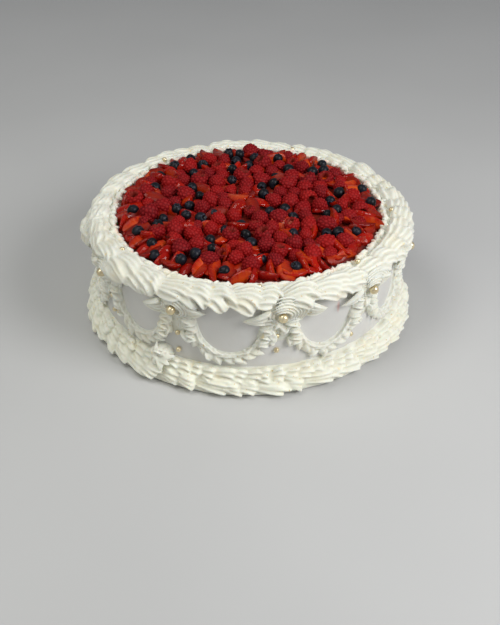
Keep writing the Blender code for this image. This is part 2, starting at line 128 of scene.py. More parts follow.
class Pile:
    """Small closed meshes gathered into one piece, with marks per point for the materials."""

    def __init__(self, *marks, uneven=0.0):
        self.points, self.quads, self.triangles = [], [], []
        self.uneven = uneven
        self.marks = {mark: [] for mark in marks}
        self.size = 0

    def add(self, points, quads, triangles, **marks):
        points = np.asarray(points, dtype=float)
        quads = np.asarray(quads, dtype=int).reshape(-1, 4)
        triangles = np.asarray(triangles, dtype=int).reshape(-1, 3)
        if inside_out(points, quads, triangles):
            quads, triangles = quads[:, ::-1], triangles[:, ::-1]
        self.points.append(points + self.uneven * soft_waves(points))
        self.quads.append(quads + self.size)
        self.triangles.append(triangles + self.size)
        self.size += len(points)
        for name, kept in self.marks.items():
            kept.append(np.broadcast_to(marks.get(name, 0.0), len(points)))

    def piece(self, name, material, sharp_angle=None):
        points = np.concatenate(self.points)
        quads, triangles = np.concatenate(self.quads), np.concatenate(self.triangles)
        mesh = bpy.data.meshes.new(name)
        mesh.vertices.add(len(points))
        mesh.vertices.foreach_set("co", points.astype(np.float32).ravel())
        mesh.loops.add(4 * len(quads) + 3 * len(triangles))
        mesh.loops.foreach_set("vertex_index", np.concatenate([quads.ravel(), triangles.ravel()]))
        mesh.polygons.add(len(quads) + len(triangles))
        starts = np.concatenate([
            4 * np.arange(len(quads)), 4 * len(quads) + 3 * np.arange(len(triangles))
        ])
        mesh.polygons.foreach_set("loop_start", starts)
        for mark, values in self.marks.items():
            layer = mesh.attributes.new(mark, "FLOAT", "POINT")
            layer.data.foreach_set("value", np.concatenate(values).astype(np.float32))
        mesh.update(calc_edges=True)
        mesh.validate()
        mesh.shade_smooth()
        if sharp_angle:
            mesh.set_sharp_from_angle(angle=sharp_angle)
        mesh.materials.append(material)
        return add_object(name, mesh)


def add_object(name, content):
    made = bpy.data.objects.new(name, content)
    bpy.context.scene.collection.objects.link(made)
    return made


SMOOTHING = 0.6
SOFT_ROUNDS = 9


def remade(made):
    """Applies a piece's modifiers and gives its new mesh."""
    graph = bpy.context.evaluated_depsgraph_get()
    mesh = bpy.data.meshes.new_from_object(made.evaluated_get(graph))
    made.modifiers.clear()
    old, made.data = made.data, mesh
    bpy.data.meshes.remove(old)
    return mesh


def melted(made, voxel, rounds, triangles, softness=None):
    """Melts a piece's overlapping strokes into one skin and marks its crests from its curves.

    The softness, from 0 to 1 by place, says where the skin runs smoother.
    """
    melt = made.modifiers.new("melt", "REMESH")
    melt.mode = "VOXEL"
    melt.voxel_size = voxel
    mesh = remade(made)
    points = np.empty(3 * len(mesh.vertices), np.float32)
    mesh.vertices.foreach_get("co", points)
    points = points.reshape(-1, 3).astype(float)
    edges = np.empty(2 * len(mesh.edges), np.int32)
    mesh.edges.foreach_get("vertices", edges)
    ends = np.concatenate([edges.reshape(-1, 2), edges.reshape(-1, 2)[:, ::-1]])
    share = 1.0 / np.maximum(np.bincount(ends[:, 0], minlength=len(points)), 1)

    def around(values):
        return np.stack([
            np.bincount(ends[:, 0], values[ends[:, 1], k], len(points)) * share
            for k in range(values.shape[1])
        ], axis=-1)

    for _ in range(rounds):
        points += SMOOTHING * (around(points) - points)
    if softness:
        weight = SMOOTHING * np.clip(softness(points), 0, 1)[:, None]
        for _ in range(SOFT_ROUNDS):
            points += weight * (around(points) - points)
    mesh.vertices.foreach_set("co", points.astype(np.float32).ravel())
    mesh.update()
    normals = np.empty(3 * len(points), np.float32)
    mesh.vertices.foreach_get("normal", normals)
    curve = ((points - around(points)) * normals.reshape(-1, 3)).sum(axis=1, keepdims=True)
    for _ in range(3):
        curve = 0.3 * curve + 0.7 * around(curve)
    # By this crest mark the cream's material paints shade into the hollows and leaves the crests
    # paler.
    crest = np.clip(0.5 + 14.0 * curve[:, 0] / voxel, 0, 1)
    layer = mesh.attributes.new("crest", "FLOAT", "POINT")
    layer.data.foreach_set("value", crest.astype(np.float32))
    thin = made.modifiers.new("thin", "DECIMATE")
    thin.ratio = min(1.0, triangles / (2 * len(mesh.polygons)))
    remade(made).shade_smooth()
    return made


def patches(points):
    """A slow change from place to place, from -1 to 1."""
    one, other = np.array([210.0, 90.0, 60.0]), np.array([-80.0, 170.0, 40.0])
    return np.sin(points @ one) * np.sin(points @ other)


def soft_waves(points):
    """A smooth uneven field, the same at the same place, that makes piping look hand-made."""
    draw = np.random.default_rng(5)
    field = np.zeros_like(points)
    for _ in range(14):
        wave = unit(draw.normal(size=3)) * 2 * math.pi / draw.uniform(0.012, 0.034)
        field += unit(draw.normal(size=3)) * np.sin(points @ wave + draw.uniform(0, 6.28))[:, None]
    return field * 0.5


def inside_out(points, quads, triangles):
    """Whether a closed mesh's faces point inwards, from the sign of its volume."""
    middle = points.mean(axis=0)
    corners = [triangles] if len(triangles) else []
    if len(quads):
        corners += [quads[:, [0, 1, 2]], quads[:, [0, 2, 3]]]
    faces = np.concatenate(corners)
    a, b, c = (points[faces[:, k]] - middle for k in range(3))
    return np.einsum("ij,ij->i", a, np.cross(b, c)).sum() < 0


def unit(vectors):
    return vectors / np.maximum(np.linalg.norm(vectors, axis=-1, keepdims=True), 1e-12)


def ring_faces(rings, around):
    """Quads between rings of points, and triangles to the two end points that follow them."""
    i, j = np.meshgrid(np.arange(rings - 1), np.arange(around), indexing="ij")
    k = (j + 1) % around
    quads = np.stack(
        [i * around + j, i * around + k, (i + 1) * around + k, (i + 1) * around + j], axis=-1
    )
    j = np.arange(around)
    k = (j + 1) % around
    first, last = rings * around, rings * around + 1
    base = (rings - 1) * around
    caps = np.concatenate([
        np.stack([k, j, np.full(around, first)], axis=-1),
        np.stack([base + j, base + k, np.full(around, last)], axis=-1),
    ])
    return quads.reshape(-1, 4), caps


def skin(pile, path, up, sections, **marks):
    """A closed surface through a section at each point of a path, ended by the path's own ends."""
    along = unit(np.gradient(path, axis=0))
    side = unit(np.cross(along, np.broadcast_to(up, path.shape)))
    lift = np.cross(side, along)
    points = path[:, None] + sections[..., :1] * side[:, None] + sections[..., 1:] * lift[:, None]
    points = np.concatenate([points.reshape(-1, 3), path[:1], path[-1:]])
    pile.add(points, *ring_faces(len(path), sections.shape[1]), **marks)


def full_turn(count):
    """Angles evenly round a circle."""
    return 2 * math.pi * np.arange(count) / count


def stroke(pile, path, up, radii, ridges, depth, around, twist, phase=0.0, **marks):
    """Cream from a star nozzle: a ridged section run along a path."""
    turn = full_turn(around)[None]
    share = np.linspace(0, 1, len(path))[:, None]
    lobe = 1 - np.abs(np.sin(0.5 * ridges * turn + phase + twist * share)) ** 1.2
    reach = radii[:, None] * (1 - depth * (1 - lobe))
    sections = np.stack([reach * np.cos(turn), reach * np.sin(turn)], axis=-1)
    skin(pile, path, up, sections, **marks)


# One ridge of piped cream across its run: a hollow back, a crest, and a steep face
FOLD = np.array([
    (-0.88, -0.10), (-0.64, 0.08), (-0.40, 0.28), (-0.16, 0.64), (0.02, 0.92), (0.16, 1.00),
    (0.31, 0.88), (0.40, 0.58), (0.44, 0.22), (0.42, -0.25), (0.0, -0.50), (-0.55, -0.42),
])
FOLD_RUN = ((0, 0.3), (0.15, 0.6), (0.4, 0.9), (0.66, 1.0), (0.85, 0.88), (0.95, 0.56), (1, 0.12))
UP = (0.0, 0.0, 1.0)


def fold(pile, path, up, width, height, mirror=1, run=FOLD_RUN, body=0.0, **marks):
    """One folded ridge of cream that swells along its path; body thickens it underneath."""
    share = np.linspace(0, 1, len(path))
    size = np.interp(share, *np.transpose(run))[:, None]
    level = height * size * FOLD[None, :, 1]
    root = body * np.sin(math.pi * np.clip(share * 1.12, 0, 1))[:, None]
    level = np.where(FOLD[None, :, 1] < -0.2, level - root, level)
    sections = np.stack([mirror * width * size * FOLD[None, :, 0], level], axis=-1)
    skin(pile, path, up, sections, **marks)


def round_points(angle, radius, height):
    angle, radius, height = np.broadcast_arrays(angle, radius, height)
    return np.stack([radius * np.sin(angle), -radius * np.cos(angle), height], axis=-1)


def side_points(angle, across, height, depth):
    """Places on the cake's side; across is an arc length and depth is out of the icing."""
    return round_points(angle + np.asarray(across) / SIDE_RADIUS, SIDE_RADIUS + depth, height)


class Section:
    """A smooth curve through (radius, height) points, read by its share of the length."""

    def __init__(self, points, samples=60):
        points = np.array(points, float)
        before, after = 2 * points[:1] - points[1:2], 2 * points[-1:] - points[-2:-1]
        padded = np.concatenate([before, points, after])
        dense = []
        for i in range(len(points) - 1):
            p0, p1, p2, p3 = padded[i:i + 4]
            t = np.linspace(0, 1, samples, endpoint=i == len(points) - 2)[:, None]
            dense.append(0.5 * (2 * p1 + (p2 - p0) * t + (2 * p0 - 5 * p1 + 4 * p2 - p3) * t**2
                                + (3 * p1 - p0 - 3 * p2 + p3) * t**3))
        self.curve = np.concatenate(dense)
        steps = np.linalg.norm(np.diff(self.curve, axis=0), axis=1)
        self.share = np.concatenate([[0], np.cumsum(steps)]) / steps.sum()
        slope = unit(np.gradient(self.curve, axis=0))
        self.normal = np.stack([-slope[:, 1], slope[:, 0]], axis=-1)

    def at(self, share, lift=0.0):
        share = np.asarray(share, float)
        radius, height, nr, nz = (
            np.interp(share, self.share, values) for values in (*self.curve.T, *self.normal.T)
        )
        beyond = np.maximum(share - 1.0, 0.0)
        radius = radius + beyond * 0.002
        height = height - beyond * 0.03
        return radius + nr * lift, height + nz * lift, nr, nz


def outward(angle, nr, nz):
    """A direction out of the cake, from its shares along the radius and upwards."""
    up = np.broadcast_to(nz, np.shape(angle))
    return np.stack([nr * np.sin(angle), -nr * np.cos(angle), up], axis=-1)


def on_side(middle, across, height, depth):
    """A path on the cake's side, with the way out of the side all along it."""
    out = outward(middle + across / SIDE_RADIUS, 1.0, 0.0)
    return side_points(middle, across, height, depth), out


FAN_RADIUS = 0.155
CREST = 0.45


def fan(pile, section, angle, draw, ridges, width, height, table, heart, steps=16, *, swell,
        size, cut_back=None):
    """A piped shell: its ridges leave one tail, arch over the section, and end in flaps.

    Each ridge is its way round the cake, where it starts, crests and ends across the section,
    and its width.
    """
    stretch, rise = size * draw.uniform(0.80, 1.30), size * draw.uniform(0.5, 1.35)
    width = width * math.sqrt(size)
    slip = draw.uniform(-0.03, 0.03)
    bend = 0.70 - 0.40 * math.sin(angle) + draw.uniform(-0.25, 0.25)
    t = np.linspace(0, 1, steps)
    for way, start, crown, end, wide in ridges:
        way = way * stretch * draw.uniform(0.88, 1.14)
        end = end + slip + draw.uniform(-0.03, 0.03)
        level_way = (1 - CREST) * start + CREST * end
        crown = level_way + bend * (crown - level_way) + slip + draw.uniform(-0.02, 0.02)
        if cut_back:
            end = min(end, cut_back(angle + way / FAN_RADIUS))
        arch = start * (t - CREST) * (t - 1) / CREST + end * t * (t - CREST) / (1 - CREST)
        share = arch + crown * t * (1 - t) / (CREST * (1 - CREST))
        lift = rise * swell * np.sin(math.pi * t**1.2) ** 0.8 - 0.0026 * (1 - t) ** 2
        lift = lift + 0.0020 * np.clip((t - 0.8) / 0.2, 0, 1) ** 2 * draw.uniform(0.0, 1.3)
        radius, level, nr, nz = section.at(share, lift)
        turn = angle + way / FAN_RADIUS * (1 - (1 - t) ** 1.55)
        radius, level = swollen(table, heart, turn, radius, level)
        fold(
            pile, round_points(turn, radius, level), outward(turn, nr, nz),
            width * wide * draw.uniform(0.92, 1.1), height * draw.uniform(0.8, 1.2),
            body=1.3 * rise * swell, tone=draw.random(),
        )


def uneven_round(count, draw, left):
    """Places and sizes of shells in a ring, larger on the left side by a share."""
    angle, end = FIRST_ROSETTE, FIRST_ROSETTE + 2 * math.pi
    while angle < end - math.pi / count:
        on_left = max(0.0, min(1.0, -1.3 * math.sin(angle) - 0.2))
        size = (1 + left * on_left) * draw.uniform(0.86, 1.16)
        yield angle, size
        angle += 2 * math.pi / count * size * draw.uniform(0.88, 1.12)


def base_ring(pile, outline, scallops, swell, table, heart, steps=240):
    """The cream under the shells: a closed section turned round the cake, gently scalloped."""
    outline = np.array(outline, float)
    middle = outline.mean(axis=0)
    count = len(outline)
    turn = full_turn(steps)
    share = 1 + swell * np.cos(scallops * turn)
    section = middle + (outline[None] - middle) * share[:, None, None]
    radius, height = swollen(table, heart, turn[:, None], section[..., 0], section[..., 1])
    height = np.maximum(height, outline[:, 1].min())
    points = round_points(turn[:, None], radius, height).reshape(-1, 3)
    i, j = np.meshgrid(np.arange(steps), np.arange(count), indexing="ij")
    k, following = (j + 1) % count, (i + 1) % steps
    quads = np.stack([i * count + j, i * count + k, following * count + k, following * count + j], -1)
    pile.add(points, quads.reshape(-1, 4), [])


# Materials

SOCKETS = {
    "roughness": "Roughness", "gloss": "Specular IOR Level", "scatter": "Subsurface Weight",
    "depths": "Subsurface Radius", "scale": "Subsurface Scale", "metallic": "Metallic",
    "coat": "Coat Weight", "coat_roughness": "Coat Roughness",
}


def rgb(value):
    """A colour, also from the one number of a grey."""
    return value if isinstance(value, tuple) else (value,) * 3


class Look:
    """A material in the making. A value may be a number, a colour, a socket or a mark's name."""

    def __init__(self, name, **settings):
        self.material = bpy.data.materials.new(name)
        self.material.use_nodes = True
        self.tree = self.material.node_tree
        self.shader = self.tree.nodes["Principled BSDF"]
        for setting, value in settings.items():
            self.join(self.shader.inputs[SOCKETS[setting]], value)

    def join(self, socket, value):
        if isinstance(value, str):
            value = self.node("Attribute", attribute_name=value).outputs["Fac"]
        if isinstance(value, bpy.types.NodeSocket):
            self.tree.links.new(value, socket)
        else:
            socket.default_value = (*rgb(value), 1.0) if socket.type == "RGBA" else value

    def node(self, kind, *values, **settings):
        """A shader node with its settings and the values of its first inputs."""
        made = self.tree.nodes.new("ShaderNode" + kind)
        for name, value in settings.items():
            setattr(made, name, value)
        for socket, value in zip(made.inputs, values):
            self.join(socket, value)
        return made

    def texture(self, kind, output, place=None, **settings):
        made = self.node(kind)
        if place is None:
            place = self.node("TexCoord").outputs["Object"]
        self.join(made.inputs["Vector"], place)
        for name, value in settings.items():
            made.inputs[name].default_value = value
        return made.outputs[output]

    def noise(self, scale, detail):
        return self.texture("TexNoise", "Fac", Scale=scale, Detail=detail)

    def math(self, operation, *values):
        return self.node("Math", *values, operation=operation).outputs[0]

    def vector(self, operation, *values):
        made = self.node("VectorMath", *values, operation=operation)
        return made.outputs["Value" if operation == "LENGTH" else "Vector"]

    def distance(self, centre, scale):
        """How far a place is from a centre, with each direction scaled."""
        away = self.vector("SUBTRACT", self.node("TexCoord").outputs["Object"], centre)
        return self.vector("LENGTH", self.vector("MULTIPLY", away, scale))

    def ramp(self, factor, *stops):
        made = self.node("ValToRGB", factor)
        elements = made.color_ramp.elements
        while len(elements) < len(stops):
            elements.new(0.5)
        for element, (position, colour) in zip(elements, stops):
            element.position = position
            element.color = (*rgb(colour), 1.0)
        return made.outputs["Color"]

    def mix(self, factor, one, other, blend="MIX"):
        made = self.node("Mix", data_type="RGBA", blend_type=blend)
        for index, value in ((0, factor), (6, one), (7, other)):
            self.join(made.inputs[index], value)
        return made.outputs[2]

    def patches(self, colour, tint, scale, detail, low, high, most=1.0):
        """A colour that goes over to a tint where a noise is high."""
        return self.mix(self.ramp(self.noise(scale, detail), (low, 0), (high, most)), colour, tint)

    def finish(self, colour, height, strength, distance):
        """Gives the shader its colour and its small bumps, and returns the material."""
        bump = self.node("Bump")
        for name, value in (("Strength", strength), ("Distance", distance), ("Height", height)):
            self.join(bump.inputs[name], value)
        self.join(self.shader.inputs["Base Color"], colour)
        self.join(self.shader.inputs["Normal"], bump.outputs["Normal"])
        return self.material


def cream_material():
    """Cream with painted shade in its hollows, so paler on its crests, painted light that makes it
    paler at the foot, and yellow patches, streaks and flecks.
    """
    look = Look(
        "piped_cream_look", roughness=0.5, gloss=0.3, scatter=0.35, scale=1.0,
        depths=(0.005, 0.004, 0.003),
    )
    # Painted shade: a darker, yellower colour in the hollows between the ridges and a paler one on
    # the crests, by the crest mark.
    colour = look.ramp("crest", (0.0, (0.71, 0.70, 0.60)), (0.8, (0.81, 0.812, 0.725)))
    colour = look.patches(colour, (0.82, 0.73, 0.50), 38, 4, 0.52, 0.72, 0.30)
    colour = look.patches(colour, (0.84, 0.68, 0.34), 130, 3, 0.66, 0.74, 0.6)
    colour = look.patches(colour, (0.62, 0.44, 0.16), 420, 1, 0.735, 0.755)
    by_fruit = look.ramp(look.distance((0, 0, 0), (1, 1, 0)), (0.1372, 1), (0.1408, 0))
    juice = look.ramp(look.noise(170, 3), (0.48, 0), (0.62, 0.75))
    colour = look.mix(look.mix(1.0, by_fruit, juice, "MULTIPLY"), colour, (0.84, 0.60, 0.50))
    # Painted light: the cream at the foot, below 2.2 cm and fading out by 3.4 cm, is made up to 9%
    # paler, standing in for bounce light from below.
    low = look.ramp(look.distance((0, 0, 0), (0, 0, 1)), (0.022, 1), (0.034, 0))
    colour = look.mix(low, colour, look.mix(1.0, colour, (1.09, 1.09, 1.06), "MULTIPLY"))
    return look.finish(colour, look.noise(700, 3), 0.12, 0.0005)


RED_SMEAR = (math.radians(33.0), SIDE_RADIUS, 0.0785)


def icing_material():
    look = Look("smooth_icing_look", roughness=0.5, scatter=0.12, depths=(0.004, 0.003, 0.0022))
    colour = look.ramp(look.noise(16, 3), (0.35, (0.64, 0.63, 0.60)), (0.65, (0.70, 0.69, 0.66)))
    colour = look.patches(colour, (0.80, 0.60, 0.52), 9, 1, 0.70, 0.80, 0.25)
    smear = look.distance(tuple(round_points(*RED_SMEAR)), (1.7, 1.7, 0.5))
    colour = look.mix(look.ramp(smear, (0.0004, 0.5), (0.0012, 0)), colour, (0.70, 0.12, 0.08))
    return look.finish(colour, look.noise(60, 4), 0.25, 0.002)


def pearl_material():
    look = Look("gold_pearl_look", metallic=0.65, roughness=0.28, coat=0.4, coat_roughness=0.12)
    colour = look.ramp(look.noise(260, 2), (0.3, (0.66, 0.53, 0.30)), (0.7, (0.86, 0.76, 0.52)))
    return look.finish(colour, look.noise(900, 2), 0.15, 0.0004)


def raspberry_material():
    """Painted shade makes it dark between the drupelets and lighter on their tops, with a painted
    pinkish sheen there for their down.
    """
    look = Look(
        "raspberry_look", roughness=0.5, gloss=0.09, scatter=0.10, depths=(0.003, 0.0004, 0.0004)
    )
    # Painted shade: dark colours in the gaps between the drupelets and light ones on their tops, by
    # the crest mark.
    dark = look.ramp("tone", (0, (0.10, 0.0005, 0.0016)), (1, (0.17, 0.0008, 0.0014)))
    light = look.ramp("tone", (0, (0.21, 0.0042, 0.0088)), (1, (0.38, 0.0080, 0.0072)))
    # Painted sheen: a pale pink on the drupelet tops stands in for the light that their down catches.
    painted_sheen = look.ramp("crest", (0.40, 0), (0.85, 0.30))
    colour = look.mix(painted_sheen, look.mix("crest", dark, light), (0.38, 0.034, 0.032))
    colour = look.mix("hollow", colour, (0.22, 0.020, 0.014))
    return look.finish(colour, look.noise(1500, 2), 0.2, 0.0003)


def blueberry_material():
    look = Look("blueberry_look", roughness=0.38, gloss=0.20)
    bloom = look.ramp(
        look.noise(140, 4), (0.42, (0.0032, 0.0034, 0.0050)), (0.75, (0.013, 0.016, 0.028))
    )
    colour = look.mix("crest", bloom, (0.040, 0.046, 0.072))
    colour = look.mix("hollow", colour, (0.003, 0.003, 0.004))
    return look.finish(colour, look.noise(900, 3), 0.2, 0.0003)


def strawberry_material():
    """Red skin with seeds, and cut flesh that is paler at its core, streaked and partly wet."""
    look = Look("strawberry_look", gloss=0.24, scatter=0.12, depths=(0.004, 0.0006, 0.0004))
    seeds = look.texture("TexVoronoi", "Distance", Scale=330)
    skin_red = look.ramp("tone", (0, (0.20, 0.0022, 0.0014)), (1, (0.40, 0.0085, 0.0022)))
    skin_red = look.mix(look.ramp(seeds, (0.16, 1), (0.24, 0)), skin_red, (0.44, 0.060, 0.012))
    flesh = look.ramp(
        "core", (0, (0.50, 0.044, 0.0030)), (0.3, (0.44, 0.022, 0.0015)),
        (0.65, (0.33, 0.008, 0.0010)), (0.95, (0.20, 0.002, 0.0005)),
    )
    where = look.node("CombineXYZ", "along", 0, "tone").outputs["Vector"]
    grain = look.texture(
        "TexNoise", "Fac", look.vector("MULTIPLY", where, (13.0, 1.0, 40.0)), Scale=1, Detail=2
    )
    flesh = look.mix(look.ramp(grain, (0.46, 0), (0.60, 0.55)), flesh, (0.48, 0.050, 0.005))
    toward_tip = look.ramp("along", (0.45, 1), (0.95, (0.70, 0.50, 0.50)))
    ripeness = look.ramp(
        "tone", (0.1, (0.52, 0.27, 0.34)), (0.55, (0.92, 0.85, 0.90)), (0.92, (1.24, 1.75, 1.50))
    )
    for shade in (toward_tip, ripeness):
        flesh = look.mix(1.0, flesh, shade, "MULTIPLY")
    juice = look.ramp(look.noise(150, 1), (0.52, 0.42), (0.60, 0.13))
    look.join(look.shader.inputs["Roughness"], look.mix("flesh", 0.12, juice))
    smooth_if_flesh = look.math("MAXIMUM", seeds, "flesh")
    height = look.math("MULTIPLY_ADD", look.noise(210, 2), 1.6, smooth_if_flesh)
    return look.finish(look.mix("flesh", skin_red, flesh), height, 0.30, 0.0009)


def bed_material():
    look = Look("bed_look", roughness=0.35)
    # Painted shade and stain: mostly dark red, partly juice stain and partly shade painted into the
    # gaps between the fruit, with pale patches of cream.
    colour = look.ramp(
        look.noise(60, 3),
        (0.40, (0.16, 0.010, 0.006)), (0.66, (0.26, 0.025, 0.012)), (0.80, (0.60, 0.42, 0.32)),
    )
    return look.finish(colour, look.noise(300, 3), 0.4, 0.001)


# Piped cream. Each stroke draws a tone of its own; the melt that joins the strokes drops it.

TOP_SECTION = Section([
    (0.1428, 0.1058), (0.1464, 0.1076), (0.1512, 0.1084), (0.1566, 0.1078), (0.1612, 0.1054),
    (0.1635, 0.1017), (0.1626, 0.0975),
])
TOP_BASE = (
    (0.1395, 0.0962), (0.1398, 0.1040), (0.1440, 0.1064), (0.1508, 0.1076), (0.1564, 0.1068),
    (0.1604, 0.1044), (0.1618, 0.1010), (0.1598, 0.0972), (0.1546, 0.0958), (0.1546, 0.0966),
)
TOP_FANS = 50
TOP_RIDGES = (
    (0.0230, 0.84, 0.84, 1.09, 1.00), (0.0275, 0.73, 0.70, 1.01, 1.10),
    (0.0300, 0.61, 0.56, 0.87, 1.20), (0.0310, 0.47, 0.40, 0.67, 1.25),
    (0.0300, 0.32, 0.25, 0.44, 1.25), (0.0280, 0.17, 0.11, 0.22, 1.15),
)
ROSETTE_REACH = 0.0190
ROSETTE_HEART = 0.006


def make_top_border(cream):
    pile = Pile("tone", uneven=0.0004)
    draw = random.Random(11)
    base_ring(pile, TOP_BASE, TOP_FANS, 0.04, TOP_SWELL, TOP_BORDER_HEART)

    def beside_rosette(angle):
        """Where a ridge ends, so that it leaves room for the rosette that it flows into."""
        turns = [angle - rosette_angle(k) for k in range(SWAG_COUNT)]
        away = min(abs((turn + math.pi) % (2 * math.pi) - math.pi) for turn in turns)
        away = away * SIDE_RADIUS - ROSETTE_HEART
        return 0.70 + 0.40 * min(1.0, max(0.0, away / (ROSETTE_REACH - ROSETTE_HEART)))

    def softness(points):
        """Smooth beside the berries and on the right, with deeper ridges at the outer edge."""
        radius = np.hypot(points[:, 0], points[:, 1])
        inside = np.clip((0.1585 - radius) / 0.010, 0, 1)
        return 0.06 + 0.50 * inside + 1.6 * np.clip(points[:, 0], 0, 1) + 0.15 * patches(points)

    for angle, size in uneven_round(TOP_FANS, draw, 0.30):
        fan(
            pile, TOP_SECTION, angle, draw, TOP_RIDGES, 0.0045, 0.0033, TOP_SWELL, TOP_BORDER_HEART,
            swell=0.0036, size=size, cut_back=beside_rosette,
        )
    return melted(pile.piece("top_border_piping", cream), 0.0009, 2, 155000, softness)


RUFFLE_BASE = (
    (0.1335, 0.0962), (0.1338, 0.1025), (0.1358, 0.1056), (0.1400, 0.1068), (0.1432, 0.1066),
    (0.1455, 0.1050), (0.1455, 0.0962),
)
RUFFLE_CURLS = 62


def make_inner_ruffle(cream):
    pile = Pile("tone", uneven=0.00035)
    draw = random.Random(12)
    base_ring(pile, RUFFLE_BASE, 60, 0.03, TOP_SWELL, TOP_BORDER_HEART)
    for i in range(RUFFLE_CURLS):
        angle = 2 * math.pi * (i + draw.uniform(-0.25, 0.25)) / RUFFLE_CURLS
        t = np.linspace(0, 1, 10)
        length = draw.uniform(0.012, 0.017)
        size = draw.uniform(0.0030, 0.0040) * (0.3 + 0.7 * np.sin(math.pi * t**0.7) ** 0.8)
        size[-1] = 0.0003
        radius = 0.1386 - 0.0026 * t**2 + draw.uniform(-0.0008, 0.0008)
        height = 0.1056 + 0.0018 * np.sin(math.pi * t) + draw.uniform(-0.0006, 0.0008)
        curl = round_points(angle + length / 0.138 * t, radius, height)
        stroke(pile, curl, UP, size, 6, 0.34, 18, draw.uniform(0.6, 1.4), tone=draw.random())
        for k in range(4):
            t = np.linspace(0, 1, 8)
            start = angle + draw.uniform(-0.05, 0.05)
            turn = start + draw.uniform(0.010, 0.045) * t
            radius = (0.1400 if k < 3 else 0.1450) - draw.uniform(0.0050, 0.0078) * t**1.5
            height = 0.1064 + draw.uniform(0.0, 0.0022) * np.sin(2.2 * t) - 0.0008 * t
            fold(
                pile, round_points(turn, radius, height), UP, draw.uniform(0.0020, 0.0030),
                draw.uniform(0.0018, 0.0028), mirror=-1, tone=draw.random(),
            )
    return melted(pile.piece("inner_ruffle_piping", cream), 0.0008, 1, 66000)


FOOT_SECTION = Section([
    (0.1553, 0.0268), (0.1585, 0.0250), (0.1615, 0.0205), (0.1632, 0.0150), (0.1652, 0.0095),
    (0.1668, 0.0045), (0.1672, 0.0018),
])
FOOT_BASE = (
    (0.1530, 0.0274), (0.1584, 0.0250), (0.1614, 0.0204), (0.1631, 0.0152), (0.1651, 0.0095),
    (0.1664, 0.0040), (0.1659, 0.0003), (0.1530, 0.0003),
)
FOOT_FANS = 54
FOOT_CURLS = 76
FOOT_LOWER = (
    (0.0210, 0.80, 0.80, 0.97, 1.10), (0.0240, 0.71, 0.68, 0.85, 1.20),
    (0.0230, 0.60, 0.56, 0.68, 1.10),
)
FOOT_UPPER = (
    (0.0125, 0.47, 0.44, 0.55, 1.05), (0.0150, 0.36, 0.29, 0.40, 1.15),
    (0.0150, 0.24, 0.15, 0.22, 1.05),
)
LOWEST_CREAM = 0.0002


def make_foot_border(cream):
    pile = Pile("tone", uneven=0.00045)
    draw = random.Random(13)
    base_ring(pile, FOOT_BASE, FOOT_FANS, 0.02, FOOT_SWELL, FOOT_HEART)
    for ridges, count, width, height, swell in (
        (FOOT_UPPER, FOOT_CURLS, 0.0034, 0.0030, 0.0024),
        (FOOT_LOWER, FOOT_FANS, 0.0043, 0.0034, 0.0032),
    ):
        for angle, size in uneven_round(count, draw, 0.0):
            fan(
                pile, FOOT_SECTION, angle, draw, ridges, width, height, FOOT_SWELL, FOOT_HEART,
                steps=14, swell=swell, size=size,
            )

    def softness(points):
        return 0.08 + 2.2 * np.clip(points[:, 0], 0, 1) + 0.15 * patches(points)

    border = melted(pile.piece("foot_border_piping", cream), 0.0009, 1, 128000, softness)
    for vertex in border.data.vertices:
        vertex.co.z = max(vertex.co.z, LOWEST_CREAM)
    return border


def swag_route(share, span):
    """A place on a swag's middle line, as across and height, with the ways along and out of it."""
    turn = math.pi * (1 - share)
    reach = SWAG_HALF_SPAN * span
    out = np.array([math.cos(turn) / reach, -math.sin(turn) / SWAG_DROP])
    out /= np.linalg.norm(out)
    place = np.array([reach * math.cos(turn), SWAG_TOP - SWAG_DROP * math.sin(turn)])
    return place, np.array([-out[1], out[0]]), out


DAB_RUN = ((0, 0.3), (0.1, 0.75), (0.3, 1.0), (0.6, 0.95), (0.85, 0.55), (1, 0.06))
BAND_RUN = ((0, 0.35), (0.12, 0.8), (0.3, 1.0), (0.7, 1.0), (0.88, 0.8), (1, 0.35))
DROP_RUN = ((0, 0.5), (0.1, 0.9), (0.25, 1.0), (0.5, 0.78), (0.8, 0.45), (1, 0.1))


def dab(pile, middle, place, heading, length, size, depth, draw, groove, around=15, rise=0.002,
        run=DAB_RUN):
    """A short dab of cream on the side, from a full head to a pointed tip."""
    t = np.linspace(0, 1, 9)
    heading = np.asarray(heading) / np.linalg.norm(heading)
    line = np.asarray(place)[None] + (t[:, None] - 0.4) * length * heading[None]
    out = depth + rise * np.sin(math.pi * t) * draw.uniform(0.6, 1.3)
    radii = size * np.interp(t, *np.transpose(run))
    radii[-1] = size * 0.06
    stroke(
        pile, *on_side(middle, *line.T, out), radii, 4, groove, around, draw.uniform(-0.5, 0.5),
        phase=draw.uniform(0, 3), tone=draw.random(),
    )


KITE = np.array([
    (-1.0, 0.0), (-0.5, 0.55), (0.2, 1.0), (0.6, 0.45), (1.0, 0.0), (0.5, -0.5), (-0.5, -0.5)
])
KITE_RUN = ((0, 0.35), (0.15, 0.8), (0.35, 1.0), (0.6, 0.82), (0.85, 0.42), (1, 0.03))
LEAF_RUN = ((0, 0.6), (0.15, 1.0), (0.4, 0.95), (0.7, 0.64), (0.9, 0.30), (1, 0.04))


def kite(t, run, width, height):
    """The sections of a sharp ridge that swells and thins out along its path."""
    size = np.interp(t, *np.transpose(run))
    return size[:, None, None] * (KITE * np.array([width, height]))[None]


